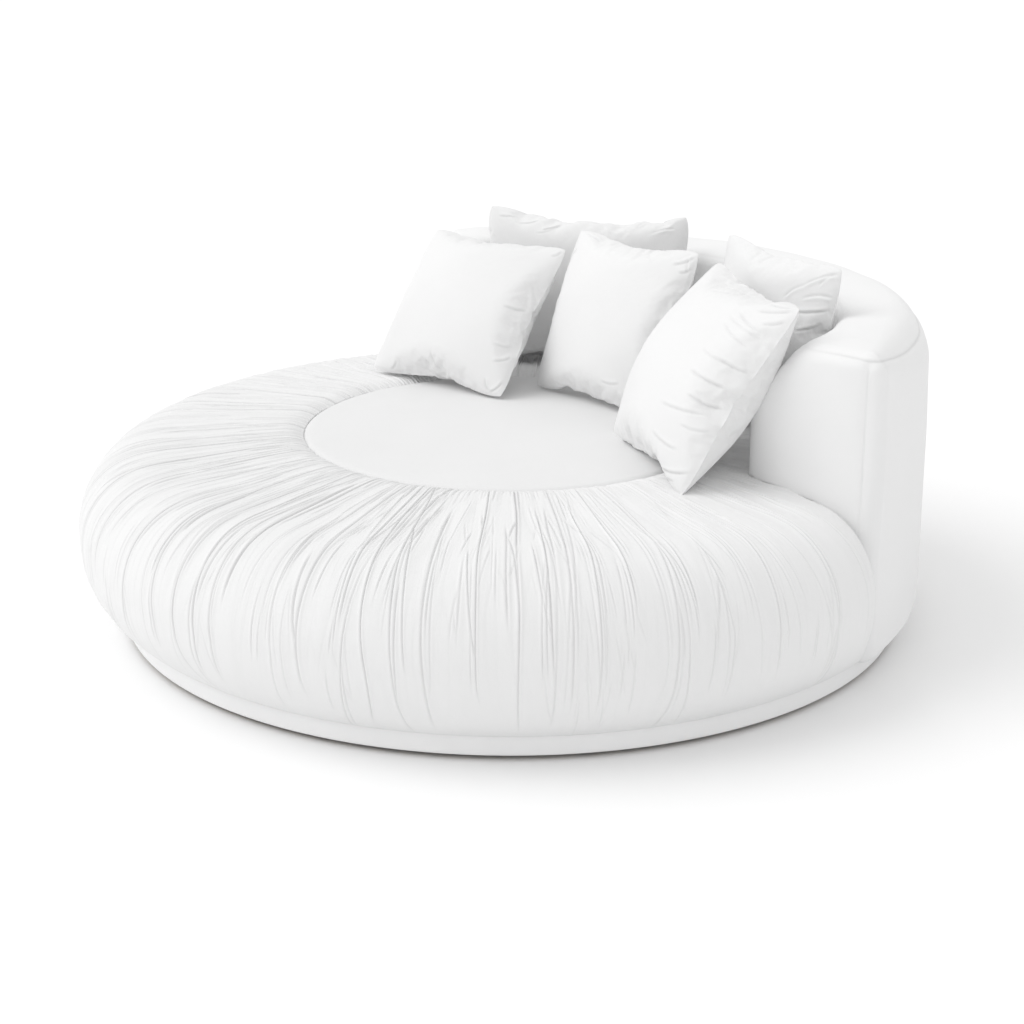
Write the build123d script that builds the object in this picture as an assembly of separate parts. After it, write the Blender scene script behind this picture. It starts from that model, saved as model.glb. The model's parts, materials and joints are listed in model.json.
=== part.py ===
from build123d import *
import os
from math import cos, pi, radians, sin

# Round upholstered day bed: a bulging gathered seat on a low plinth, an arc backrest and five loose pillows.
# Millimetres, +Z up. The origin is on the floor under the middle of the plinth, and +Y points at the
# middle of the backrest, so -Y is the open front of the bed.
os.makedirs("parts", exist_ok=True)

# Shared fits
OVERRUN = 20             # how far a cutting solid runs past the piece that it cuts
SOFT_GAP = 0.6           # air left between two soft pieces that only lie against each other

# Plinth
PLINTH_RADIUS = 1000
PLINTH_TOP = 60          # floor to the underside of the seat deck
GLIDE_HEIGHT = 12        # the dark gap between floor and plinth
GLIDE_RADIUS = 20
GLIDE_EDGE_INSET = 75    # from the outside of the plinth to the middle of a glide
GLIDE_COUNT = 12
CENTRE_GLIDE_RADIUS = 35
DUST_COVER_THICKNESS = 1
BAND_COVER_THICKNESS = 2
BAND_PADDING_THICKNESS = 6
BAND_SOFT_EDGE = 4
PLINTH_SKIN_THICKNESS = 5
BASE_RING_THICKNESS = 12
BASE_RING_WIDTH = 105
BLOCK_COUNT = 16
BLOCK_WIDTH = 45
BLOCK_LENGTH = 80
BEARER_WIDTH = 45
BEARER_SCREW_CIRCLE = 520
CENTRE_BLOCK_SIDE = 140

# Screws and bolts
FASTENER_SIDES = 6
GLIDE_SIDES = 12         # glides and washers
SCREW_RADIUS = 2.2
SCREW_HEAD_RADIUS = 4.4
SCREW_HEAD_HEIGHT = 3
GLIDE_SCREW_LENGTH = 22
GLIDE_SCREW_RECESS = 4
DECK_SCREW_LENGTH = 45
BOLT_RADIUS = 4
BOLT_HEAD_RADIUS = 7.5
BOLT_HEAD_HEIGHT = 5.3
WASHER_RADIUS = 12
WASHER_THICKNESS = 1.6
BOLT_ANGLES = (-63, -45, -22.5, 22.5, 45, 63)
TNUT_FLANGE_RADIUS = 11
TNUT_FLANGE_THICKNESS = 1.5
TNUT_BARREL_RADIUS = 5.5
TNUT_BARREL_LENGTH = 11

# Seat
DECK_RADIUS = 985
DECK_THICKNESS = 18
SEAT_RADIUS = 1100       # widest part of the bulge
WAIST_HEIGHT = 231       # height of the widest part
FOOT_RADIUS = 1006       # where the bulge tucks in on to the plinth
TUCK_RADIUS = 1079       # a point on the under curve, between foot and waist
TUCK_HEIGHT = 138
SHOULDER_RADIUS = 1042   # a point on the upper curve, between waist and crown
SHOULDER_HEIGHT = 392
CROWN_RADIUS = 887
CROWN_HEIGHT = 451
SEAM_RADIUS = 532        # the round seam between gathered ring and centre panel
SEAM_HEIGHT = 461
CENTRE_HEIGHT = 468
CENTRE_PANEL_THICKNESS = 4
COMFORT_LAYER_THICKNESS = 50
COVER_THICKNESS = 3
WADDING_THICKNESS = 5     # soft layer sewn to the back of the gathered cloth
GATHER_COUNT = 54
GATHER_DEPTH = 8
# Stations of the gathered ring: place along the profile, then gather depth there, both as shares
UNDER_STATION_SHARES = ((0, 0.3), (0.5, 0.6), (1, 0.9))
SHOULDER_STATION_SHARES = ((0.25, 1), (0.5, 1), (0.75, 1), (1, 0.9))
TOP_STATION_SHARES = ((0.5, 0.9), (1, 0.75))
# The gathers are uneven: how much their spacing and their depth wander, as shares
GATHER_SPACING_SHARE = 0.22
GATHER_DEPTH_SHARE = 0.3

# Backrest
BACK_INNER_RADIUS = 810
BACK_OUTER_RADIUS = 1045
BACK_HEIGHT = 800
BACK_SPAN = 140          # degrees
BACK_LIFT = 2            # from the plinth top to the lowest edge of the backrest
BACK_INNER_CORNER = 95
BACK_OUTER_CORNER = 45
BACK_TOP_EDGE = 38
BACK_BOTTOM_EDGE = 28
BACK_TOP_FOAM = 40
BACK_INNER_FOAM = 57
BACK_END_FOAM = 40
BACK_PLATE_THICKNESS = 18
BACK_SKIN_THICKNESS = 5
TOP_SEAM_DROP = 20
UPRIGHT_WIDTH = 38
UPRIGHT_ANGLES = (-54, -33.75, 0, 33.75, 54)

# Pillows: name, width, height, thickness, place of the middle (x, y, z), turn, lean back, roll
PILLOWS = (
    ("pillow_left", 472, 455, 145, (-497, 147, 657.1), 17.8, 37, 0),
    ("pillow_back_left", 572, 450, 135, (-437, 527, 684.8), 39.8, 8, -1),
    ("pillow_middle", 470, 450, 140, (-72, 367, 678.1), 7.8, 21, 0),
    ("pillow_right", 530, 500, 175, (482, 220, 682.9), -16.2, 32, -1),
    ("pillow_back_right", 466, 466, 122, (375, 526, 694.5), -7.2, 8, -2),
)
PILLOW_COVER_THICKNESS = 2.5
PILLOW_RIM_THICKNESS = 9
PILLOW_SIDE_DRAW = 15    # how far each side pulls in between the corners
# Level curves of one pillow face, from rim to crown: size, rise, and side draw, all as shares
PILLOW_LEVEL_SHARES = (
    (1, 0, 1), (0.965, 0.3, 0.7), (0.87, 0.6, -0.1), (0.7, 0.84, -1), (0.44, 0.97, -1.3), (0.15, 1, -0.6))

DECK_TOP = PLINTH_TOP + DECK_THICKNESS
BASE_RING_BOTTOM = GLIDE_HEIGHT + DUST_COVER_THICKNESS
BASE_RING_TOP = BASE_RING_BOTTOM + BASE_RING_THICKNESS
BAND_PADDING_RADIUS = PLINTH_RADIUS - BAND_COVER_THICKNESS
PLINTH_SKIN_RADIUS = BAND_PADDING_RADIUS - BAND_PADDING_THICKNESS
PLINTH_FRAME_RADIUS = PLINTH_SKIN_RADIUS - PLINTH_SKIN_THICKNESS
GLIDE_CIRCLE = PLINTH_RADIUS - GLIDE_EDGE_INSET
GATHER_FLOOR = COVER_THICKNESS + WADDING_THICKNESS + GATHER_DEPTH
BACK_FRAME_INNER = BACK_INNER_RADIUS + COVER_THICKNESS + BACK_INNER_FOAM
BACK_FRAME_TOP = BACK_HEIGHT - COVER_THICKNESS - BACK_TOP_FOAM
BACK_FRAME_END = COVER_THICKNESS + BACK_END_FOAM
BOLT_CIRCLE = (BACK_FRAME_INNER + DECK_RADIUS) / 2


def save(node, shape):
    solids = shape.solids()
    body = solids[0] if len(solids) == 1 else Compound(children=list(solids))
    export_step(body, f"parts/{node}.step")


def disc(radius, low, high):
    return Pos(0, 0, low) * extrude(Circle(radius), high - low)


def ring(inner, outer, low, high):
    return Pos(0, 0, low) * extrude(Circle(outer) - Circle(inner), high - low)


def revolved(*edges):
    return revolve(make_face(Wire(list(edges))), Axis.Z)


def at(radius, height):
    return Vector(radius, 0, height)


def spread(shape, radius, angles):
    """Copies of a shape at a radius, at angles counted from +Y, clockwise from above."""
    return [Rot(0, 0, -a) * Pos(0, radius, 0) * shape for a in angles]


def even(count, offset_share=0):
    return [(k + offset_share) * 360 / count for k in range(count)]


def prism(radius, low, high, sides=FASTENER_SIDES):
    """A small round piece or hole, drawn with flats so that the many copies of it stay light."""
    return Pos(0, 0, low) * extrude(RegularPolygon(radius, sides), high - low)


def screw(low_of_head, length, head_up):
    """A countersunk screw on the Z axis, its flat head at the given height."""
    neck = Pos(0, 0, SCREW_HEAD_HEIGHT) * RegularPolygon(SCREW_RADIUS, FASTENER_SIDES)
    head = loft([RegularPolygon(SCREW_HEAD_RADIUS, FASTENER_SIDES), neck])
    body = head + prism(SCREW_RADIUS, SCREW_HEAD_HEIGHT, length)
    return Pos(0, 0, low_of_head) * (Rot(180, 0, 0) * body if head_up else body)


# Plinth

def glide_screws():
    one = screw(GLIDE_SCREW_RECESS, GLIDE_SCREW_LENGTH, head_up=False)
    return Part() + spread(one, GLIDE_CIRCLE, even(GLIDE_COUNT, 0.5)) + one


def glide(foot):
    foot = chamfer(foot.edges().group_by(Axis.Z)[0], GLIDE_HEIGHT / 4)
    return foot - prism(SCREW_HEAD_RADIUS, -OVERRUN, GLIDE_SCREW_RECESS)


def bearers():
    """Two flat bearers, halved into each other where they cross under the middle of the deck."""
    height = PLINTH_TOP - BASE_RING_TOP
    half = BASE_RING_TOP + height / 2
    inside = disc(PLINTH_FRAME_RADIUS, BASE_RING_TOP, PLINTH_TOP)
    along_x = Pos(0, 0, BASE_RING_TOP + height / 2) * Box(2 * PLINTH_RADIUS, BEARER_WIDTH, height) & inside
    along_y = Pos(0, 0, BASE_RING_TOP + height / 2) * Box(BEARER_WIDTH, 2 * PLINTH_RADIUS, height) & inside
    crossing = Box(BEARER_WIDTH, BEARER_WIDTH, height / 2, align=(Align.CENTER, Align.CENTER, Align.MIN))
    return along_x - Pos(0, 0, half) * crossing, along_y - Pos(0, 0, BASE_RING_TOP) * crossing


def make_plinth():
    screws = glide_screws()
    save("glide_screws", screws)
    rim_glide = glide(prism(GLIDE_RADIUS, 0, GLIDE_HEIGHT, GLIDE_SIDES))
    save("floor_glides", (Part() + spread(rim_glide, GLIDE_CIRCLE, even(GLIDE_COUNT, 0.5))) - screws)
    save("centre_glide", glide(disc(CENTRE_GLIDE_RADIUS, 0, GLIDE_HEIGHT)) - screws)
    save("dust_cover", disc(PLINTH_FRAME_RADIUS, GLIDE_HEIGHT, BASE_RING_BOTTOM) - screws)
    base = ring(PLINTH_FRAME_RADIUS - BASE_RING_WIDTH, PLINTH_FRAME_RADIUS, BASE_RING_BOTTOM, BASE_RING_TOP)
    save("plinth_base_ring", base - screws)
    block = Pos(0, 0, BASE_RING_BOTTOM) * Box(
        CENTRE_BLOCK_SIDE, CENTRE_BLOCK_SIDE, BASE_RING_THICKNESS, align=(Align.CENTER, Align.CENTER, Align.MIN))
    save("plinth_centre_block", block - screws)
    fixing = deck_screws()
    along_x, along_y = bearers()
    save("bearer_across", along_x - fixing - screws)
    save("bearer_along", along_y - fixing - screws)
    height = PLINTH_TOP - BASE_RING_TOP
    rib = Pos(0, 0, BASE_RING_TOP) * Box(
        BLOCK_WIDTH, BLOCK_LENGTH, height, align=(Align.CENTER, Align.CENTER, Align.MIN))
    ribs = spread(rib, PLINTH_FRAME_RADIUS - BLOCK_LENGTH / 2 - BAND_SOFT_EDGE, even(BLOCK_COUNT, 0.5))
    save("plinth_blocks", (Part() + ribs) - fixing - screws)
    save("plinth_skin", ring(PLINTH_FRAME_RADIUS, PLINTH_SKIN_RADIUS, GLIDE_HEIGHT, PLINTH_TOP))
    save("plinth_padding", ring(PLINTH_SKIN_RADIUS, BAND_PADDING_RADIUS, GLIDE_HEIGHT, PLINTH_TOP))
    save("plinth_cover", ring(BAND_PADDING_RADIUS, PLINTH_RADIUS, GLIDE_HEIGHT, PLINTH_TOP))


# Seat

def deck_screws():
    one = screw(DECK_TOP, DECK_SCREW_LENGTH, head_up=True)
    rim = PLINTH_FRAME_RADIUS - BLOCK_LENGTH / 2 - BAND_SOFT_EDGE
    inner = spread(one, BEARER_SCREW_CIRCLE, even(4))
    return Part() + spread(one, rim, even(BLOCK_COUNT, 0.5)) + inner


def seat_deck():
    deck = disc(DECK_RADIUS, PLINTH_TOP, DECK_TOP)
    return deck - deck_screws() - spread(prism(BOLT_RADIUS, 0, DECK_TOP + OVERRUN), BOLT_CIRCLE, BOLT_ANGLES)


def seat_curves(inset, inward=0):
    """The under, shoulder and top curves of the seat, drawn in by an inset; the top runs on inward of the seam."""
    foot = at(FOOT_RADIUS - inset, PLINTH_TOP)
    waist = at(SEAT_RADIUS - inset, WAIST_HEIGHT)
    crown = at(CROWN_RADIUS, CROWN_HEIGHT - inset)
    slope = (SEAM_HEIGHT - CROWN_HEIGHT) / (CROWN_RADIUS - SEAM_RADIUS)
    seam = at(SEAM_RADIUS - inward, SEAM_HEIGHT - inset + slope * inward)
    tuck = at(TUCK_RADIUS - inset, TUCK_HEIGHT + inset / 4)
    shoulder = at(SHOULDER_RADIUS - inset * cos(pi / 4), SHOULDER_HEIGHT - inset * sin(pi / 4))
    under = Edge.make_three_point_arc(foot, tuck, waist)
    over = Edge.make_three_point_arc(waist, shoulder, crown)
    return under, over, Edge.make_line(crown, seam)


def seat_body(inset, inward=0, down=0):
    """The seat outside the seam radius, drawn in by an inset, as one ring; it can run on inward and down."""
    under, over, top = seat_curves(inset, inward)
    low = PLINTH_TOP - down
    drop = Edge.make_line(top @ 1, at(SEAM_RADIUS - inward, low))
    if not down:
        return revolved(under, over, top, drop, Edge.make_line(at(SEAM_RADIUS - inward, low), under @ 0))
    floor = Edge.make_line(at(SEAM_RADIUS - inward, low), at(FOOT_RADIUS - inset, low))
    return revolved(under, over, top, drop, floor, Edge.make_line(floor @ 1, under @ 0))


def gather_angles():
    step = 2 * pi / GATHER_COUNT
    return [step * (k + GATHER_SPACING_SHARE * sin(2.4 * k)) for k in range(GATHER_COUNT)]


def gathered_wire(point, depth):
    """A level closed curve of rounded gathers, pointed in the valleys between them."""
    valleys = gather_angles()
    valleys.append(valleys[0] + 2 * pi)
    edges = []
    for k in range(GATHER_COUNT):
        a, b = valleys[k], valleys[k + 1]
        dip_a = depth * (1 - GATHER_DEPTH_SHARE * (1 + sin(1.7 * k)) / 2)
        dip_b = depth * (1 - GATHER_DEPTH_SHARE * (1 + sin(1.7 * ((k + 1) % GATHER_COUNT))) / 2)
        start = Vector(point.X - dip_a, 0, point.Z).rotate(Axis.Z, a * 180 / pi)
        end = Vector(point.X - dip_b, 0, point.Z).rotate(Axis.Z, b * 180 / pi)
        crest = Vector(point.X, 0, point.Z).rotate(Axis.Z, (a + b) / 2 * 180 / pi)
        edges.append(Edge.make_three_point_arc(start, crest, end))
    return Wire(edges)


def gathered_body():
    under, over, top = seat_curves(0, OVERRUN)
    wires = [gathered_wire(under @ s, GATHER_DEPTH * d) for s, d in UNDER_STATION_SHARES]
    wires += [gathered_wire(over @ s, GATHER_DEPTH * d) for s, d in SHOULDER_STATION_SHARES]
    wires += [gathered_wire(top @ s, GATHER_DEPTH * d) for s, d in TOP_STATION_SHARES]
    return Solid.make_loft(wires, ruled=True)


def dome(radius, low, edge_height, centre_height):
    half = at(radius / 2, edge_height + (centre_height - edge_height) * 0.75)
    arc = Edge.make_three_point_arc(at(0, centre_height), half, at(radius, edge_height))
    return revolved(
        arc, Edge.make_line(arc @ 1, at(radius, low)), Edge.make_line(at(radius, low), at(0, low)),
        Edge.make_line(at(0, low), arc @ 0))


def make_seat():
    save("seat_deck", seat_deck())
    save("deck_screws", deck_screws())
    deck_room = disc(DECK_RADIUS, PLINTH_TOP - OVERRUN, DECK_TOP)
    panel_low = SEAM_HEIGHT - CENTRE_PANEL_THICKNESS
    panel_centre_low = CENTRE_HEIGHT - CENTRE_PANEL_THICKNESS
    core_top = panel_low - COMFORT_LAYER_THICKNESS
    save("seat_core_foam", disc(SEAM_RADIUS, DECK_TOP, core_top))
    comfort = dome(SEAM_RADIUS, core_top, panel_low, panel_centre_low)
    save("seat_comfort_layer", comfort)
    whole = dome(SEAM_RADIUS, core_top, SEAM_HEIGHT, CENTRE_HEIGHT)
    save("seat_centre_panel", whole - comfort)
    middle = disc(SEAM_RADIUS, 0, CENTRE_HEIGHT + OVERRUN)
    room = backrest_room()
    save("seat_gathered_ring", gathered_body() - middle - seat_body(GATHER_FLOOR, OVERRUN, OVERRUN) - room)
    save("seat_bolster_foam", seat_body(GATHER_FLOOR) - deck_room - room)


# Backrest

def wedge(inset):
    """The sector that the backrest spans, its two end planes drawn in by an inset."""
    half = radians(BACK_SPAN / 2)
    far = 2 * BACK_OUTER_RADIUS
    tip = inset / sin(half)
    right = (far * sin(half), tip + far * cos(half))
    points = [(0, tip), right, (right[0], far), (-right[0], far), (-right[0], right[1])]
    return Pos(0, 0, -OVERRUN) * extrude(make_face(Polyline(*points, close=True)), BACK_HEIGHT + 2 * OVERRUN)


def wall(inset):
    """The whole soft backrest, drawn in by an inset, standing on the plinth round the edge of the deck."""
    low = PLINTH_TOP + BACK_LIFT + inset
    inner, outer = BACK_INNER_RADIUS + inset, BACK_OUTER_RADIUS - inset
    body = ring(inner, outer, low, BACK_HEIGHT - inset) & wedge(inset)
    upright = body.edges().filter_by(Axis.Z)
    near = upright.filter_by(lambda e: e.center().X ** 2 + e.center().Y ** 2 < BOLT_CIRCLE ** 2)
    body = fillet(near, BACK_INNER_CORNER - inset)
    upright = body.edges().filter_by(Axis.Z)
    reach = outer - BACK_OUTER_CORNER / 2
    far = upright.filter_by(lambda e: e.center().X ** 2 + e.center().Y ** 2 > reach ** 2)
    body = fillet(far, BACK_OUTER_CORNER - inset)
    body = fillet(body.edges().group_by(Axis.Z)[-1], BACK_TOP_EDGE - inset)
    body = fillet(body.edges().group_by(Axis.Z)[0], BACK_BOTTOM_EDGE - inset)
    return body - disc(DECK_RADIUS, 0, DECK_TOP)


def backrest_room():
    """What the seat leaves free: the backrest, and all that would stand out behind it, where the plinth is bare."""
    behind = ring(BOLT_CIRCLE, SEAT_RADIUS + OVERRUN, PLINTH_TOP - OVERRUN, CROWN_HEIGHT + OVERRUN)
    return wall(-SOFT_GAP) + (behind & wedge(-SOFT_GAP))


def frame_room():
    return ring(BACK_FRAME_INNER, DECK_RADIUS, DECK_TOP, BACK_FRAME_TOP) & wedge(BACK_FRAME_END)


def make_backrest_frame():
    inner, outer = BACK_FRAME_INNER + BACK_SKIN_THICKNESS, DECK_RADIUS - BACK_SKIN_THICKNESS
    between_ends = wedge(BACK_FRAME_END + BACK_PLATE_THICKNESS)
    bottom_top = DECK_TOP + BACK_PLATE_THICKNESS
    top_low = BACK_FRAME_TOP - BACK_PLATE_THICKNESS
    bolts, washers, nuts = fixings(bottom_top)
    save("backrest_bolts", bolts)
    save("backrest_washers", washers)
    save("backrest_t_nuts", nuts)
    save("backrest_bottom_plate", (ring(inner, outer, DECK_TOP, bottom_top) & between_ends) - nuts - bolts)
    save("backrest_top_plate", ring(inner, outer, top_low, BACK_FRAME_TOP) & between_ends)
    stud = Pos(0, 0, bottom_top) * Box(
        UPRIGHT_WIDTH, outer - inner + OVERRUN, top_low - bottom_top, align=(Align.CENTER, Align.CENTER, Align.MIN))
    studs = Part() + spread(stud, BOLT_CIRCLE, UPRIGHT_ANGLES)
    save("backrest_uprights", studs & ring(inner, outer, bottom_top, top_low))
    save("backrest_inner_skin", ring(BACK_FRAME_INNER, inner, DECK_TOP, BACK_FRAME_TOP) & between_ends)
    save("backrest_outer_skin", ring(outer, DECK_RADIUS, DECK_TOP, BACK_FRAME_TOP) & between_ends)
    ends = frame_room() - between_ends
    save("backrest_end_boards", ends)


def fixings(nut_top):
    """Bolts up through the deck into T-nuts in the bottom plate, each with a washer under its head."""
    head_top = PLINTH_TOP - WASHER_THICKNESS
    shank = prism(BOLT_RADIUS, head_top, nut_top)
    head = prism(BOLT_HEAD_RADIUS, head_top - BOLT_HEAD_HEIGHT, head_top)
    bore = prism(BOLT_RADIUS, 0, nut_top + OVERRUN)
    washer = prism(WASHER_RADIUS, head_top, PLINTH_TOP, GLIDE_SIDES) - bore
    flange = prism(TNUT_FLANGE_RADIUS, nut_top - TNUT_FLANGE_THICKNESS, nut_top)
    barrel = prism(TNUT_BARREL_RADIUS, nut_top - TNUT_BARREL_LENGTH, nut_top)
    nut = flange + barrel - bore
    return [Part() + spread(one, BOLT_CIRCLE, BOLT_ANGLES) for one in (head + shank, washer, nut)]


def make_backrest_soft():
    outside, lining = wall(0), wall(COVER_THICKNESS)
    foam = lining - frame_room()
    above = disc(BACK_OUTER_RADIUS + OVERRUN, BACK_FRAME_TOP, BACK_HEIGHT + OVERRUN)
    save("backrest_top_foam", foam & above)
    low = foam - above
    inside = disc(BACK_FRAME_INNER, 0, BACK_HEIGHT)
    save("backrest_inner_foam", low & inside)
    rest = low - inside
    behind = ring(DECK_RADIUS, BACK_OUTER_RADIUS + OVERRUN, 0, BACK_HEIGHT)
    save("backrest_outer_foam", rest & behind)
    save("backrest_end_foams", rest - behind)
    skin = outside - lining
    lid = disc(BACK_OUTER_RADIUS + OVERRUN, BACK_HEIGHT - TOP_SEAM_DROP, BACK_HEIGHT + OVERRUN)
    save("backrest_top_cover", skin & lid)
    sides = skin - lid
    middle = wedge(BACK_INNER_CORNER)
    front = disc(BOLT_CIRCLE, 0, BACK_HEIGHT)
    ends = sides - middle
    left, right = sorted(ends.solids(), key=lambda panel: panel.center().X)
    save("backrest_left_end_cover", left)
    save("backrest_right_end_cover", right)
    save("backrest_inner_cover", sides & middle & front)
    save("backrest_outer_cover", (sides & middle) - front)


# Pillows

def pillow_outline(width, height, draw, level):
    """Four arcs from corner to corner; a positive draw pulls the sides in, a negative one swells them."""
    x, y = width / 2, height / 2
    corners = [(-x, -y), (x, -y), (x, y), (-x, y)]
    middles = [(0, draw - y), (x - draw, 0), (0, y - draw), (draw - x, 0)]
    edges = []
    for k in range(4):
        a, m, b = corners[k], middles[k], corners[(k + 1) % 4]
        edges.append(Edge.make_three_point_arc(Vector(*a, level), Vector(*m, level), Vector(*b, level)))
    return Wire(edges)


def pillow_half(width, height, rise, rim):
    wires = []
    for size, lift, draw in PILLOW_LEVEL_SHARES:
        wires.append(pillow_outline(width * size, height * size, PILLOW_SIDE_DRAW * draw, rim + (rise - rim) * lift))
    return Solid.make_loft(wires)


def pillow_form(width, height, thickness, rim):
    """A crowned cushion with drawn-in sides, a thin stitched rim and its face towards +Z."""
    half = pillow_half(width, height, thickness / 2, rim / 2)
    belt = extrude(make_face(pillow_outline(width, height, PILLOW_SIDE_DRAW, -rim / 2)), rim)
    return half + belt + mirror(half, Plane.XY)


def pillow_place(place, turn, lean, roll):
    """Local +Y goes up the leaning pillow and local +Z out of its face."""
    return Pos(*place) * Rot(0, 0, turn) * Rot(90 - lean, 0, 0) * Rot(0, 0, roll)


def make_pillows():
    for name, width, height, thickness, place, turn, lean, roll in PILLOWS:
        skin = 2 * PILLOW_COVER_THICKNESS
        whole = pillow_form(width, height, thickness, PILLOW_RIM_THICKNESS)
        fill = pillow_form(width - 2 * skin, height - 2 * skin, thickness - skin, PILLOW_RIM_THICKNESS - skin)
        seat = pillow_place(place, turn, lean, roll)
        save(f"{name}_cover", seat * (whole - fill))
        save(f"{name}_insert", seat * fill)


make_plinth()
make_seat()
make_backrest_frame()
make_backrest_soft()
make_pillows()
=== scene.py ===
"""The looks of a round upholstered day bed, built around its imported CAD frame.

Metres, +Z up, the origin on the floor under the middle of the plinth, +Y towards the middle of the backrest.
"""
import json
from math import cos, pi, radians, sin, tau
from typing import NamedTuple

import bmesh
import bpy
import numpy as np
from bpy.props import FloatProperty, FloatVectorProperty, IntProperty, PointerProperty
from mathutils import Matrix, Vector


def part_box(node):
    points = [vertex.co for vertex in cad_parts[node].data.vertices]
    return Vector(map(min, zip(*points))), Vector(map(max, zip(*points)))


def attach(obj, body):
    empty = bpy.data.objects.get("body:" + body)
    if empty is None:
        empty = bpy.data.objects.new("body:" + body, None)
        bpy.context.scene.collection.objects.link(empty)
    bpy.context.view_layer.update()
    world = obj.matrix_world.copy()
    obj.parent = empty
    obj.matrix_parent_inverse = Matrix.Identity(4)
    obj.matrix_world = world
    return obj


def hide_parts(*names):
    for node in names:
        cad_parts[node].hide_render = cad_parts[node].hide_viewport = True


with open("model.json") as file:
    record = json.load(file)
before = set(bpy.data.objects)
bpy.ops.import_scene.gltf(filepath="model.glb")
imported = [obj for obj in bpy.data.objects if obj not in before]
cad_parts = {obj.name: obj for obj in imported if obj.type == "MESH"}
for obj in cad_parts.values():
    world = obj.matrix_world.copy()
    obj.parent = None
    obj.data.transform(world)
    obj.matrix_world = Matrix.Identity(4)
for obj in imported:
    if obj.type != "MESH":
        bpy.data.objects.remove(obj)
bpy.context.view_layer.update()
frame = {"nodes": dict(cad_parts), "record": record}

bl_info = {
    "name": "Round upholstered day bed",
    "version": (1, 0, 0),
    "blender": (4, 5, 0),
    "location": "View3D > Sidebar > Day bed",
    "description": "Dresses the frame of a round day bed in gathered, padded and sewn cloth",
    "category": "Object",
}

MM = 0.001
CM = 10 * MM
SMALL = 1e-6
AIR = 0.5 * MM            # between a soft piece and the deck under it
SPIN_CUTS = 10            # columns made by cutting each step of the ring's spin
BACKDROP = 1.05           # brightness of the surround where it is seen past the floor

BAND_LOW, BAND_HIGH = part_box("plinth_cover")
BELLY_RADIUS = -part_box("seat_gathered_ring")[0].y
PANEL_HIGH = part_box("seat_centre_panel")[1]
DECK_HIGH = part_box("seat_deck")[1]
BACK_LOW, BACK_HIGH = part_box("backrest_outer_cover")
BACK_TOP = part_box("backrest_top_cover")[1].z
SEAM_RADIUS = PANEL_HIGH.x
DECK_TOP = DECK_HIGH.z + AIR
DECK_SIDE = DECK_HIGH.x + AIR
BACK_RADIUS = BACK_HIGH.y

# Profile of the seat, radius and height, in metres: the places that its arcs run through
FOOT = (1.006, BAND_HIGH.z)
TUCK = (1.079, 0.138)
WAIST = (BELLY_RADIUS, 0.231)
SHOULDER = (1.042, 0.392)
CROWN = (0.887, 0.451)
SEAM = (SEAM_RADIUS, 0.461)
SEAM_SOFTNESS = 60 * MM   # over this length the bend from the bulge to the flat by the seam is drawn out
FULL_BULGE = 6 * MM       # how far the cloth stands off this profile where it is fullest
END_TUCK_LENGTH = 12 * CM    # over this length the bulge rounds in towards the backrest's ends
END_TUCK_SHARE = 0.25        # how much of the bulge's reach is gone there
END_TUCK_DROP = 8 * MM
TUCK_RISE = 12 * CM          # height above the foot at which the rounding in is full
WALL_GROOVE = 9 * MM         # depth and width of the groove where the ring meets the backrest

# Backrest plan and edges
BACK_INNER_RADIUS = 0.810
BACK_HALF_SPAN = radians(70)
BACK_INNER_CORNER = 95 * MM
BACK_OUTER_CORNER = 45 * MM
BACK_TOP_EDGE = 38 * MM
BACK_BOTTOM_EDGE = 28 * MM
BACK_FULL_EDGE = 105 * MM    # the fuller round of the outer top edge away from the ends
TOP_SEAM_DROP = 12 * MM      # height of the top seam under the top, at the ends
SEAM_SLIP = 26 * MM          # how much lower it lies on the fuller round
TOP_DRAW = 9 * MM            # how far the outer face draws in towards its top
TOP_CROWN = 11 * MM          # how much higher the top stands along its middle
END_PUFF = 4 * MM            # how far the end faces swell between their corners
BACK_RIPPLE = 1.1 * MM       # soft unevenness of the upholstery
END_SWELL = 150 * MM         # how far the foot of the inner face swells over the seat at the ends
END_SWELL_HEIGHT = 37 * CM   # height over the seat's seam at which that swell has died out


class Pillow(NamedTuple):
    """Size in metres, turn, lean back and roll in degrees, and a nudge along its width and off its face."""
    width: float
    height: float
    thickness: float
    turn: float
    lean: float
    roll: float
    along: float
    out: float


PILLOWS = {
    "pillow_left": Pillow(0.494, 0.460, 0.180, 17.8, 37, 0, 14 * MM, 0),
    "pillow_back_left": Pillow(0.600, 0.442, 0.135, 39.8, 8, -0.2, -17 * MM, 0),
    "pillow_middle": Pillow(0.470, 0.450, 0.160, 7.8, 21, 0, 0, 0),
    "pillow_right": Pillow(0.534, 0.506, 0.215, -16.2, 32, -1, 0, -18 * MM),
    "pillow_back_right": Pillow(0.486, 0.466, 0.122, -3.5, 8, -1, 0, 0),
}


def cloth_colour(name, of_what, grey):
    return FloatVectorProperty(
        name=name, description=f"Colour of {of_what}", size=3, subtype="COLOR", default=(grey, grey, grey))


class DAYBED_PG_seat(bpy.types.PropertyGroup):
    """Mesh and folds of the gathered ring."""
    columns: IntProperty(name="Columns", description="Columns of the ring's mesh", default=4800)
    row_step: FloatProperty(
        name="Row step", description="Distance between the rows of the ring's mesh", default=10 * MM,
        unit="LENGTH")
    folds: IntProperty(name="Folds", description="Main gathers round the ring", default=230)
    depth: FloatProperty(
        name="Fold depth", description="Depth of the deepest gather", default=5.6 * MM, unit="LENGTH")
    seam_drop: FloatProperty(
        name="Seam drop", description="How far the cloth rolls down to the round seam", default=7 * MM,
        unit="LENGTH")
    seed: IntProperty(name="Seed", description="Seed of the gathers", default=11)


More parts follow.
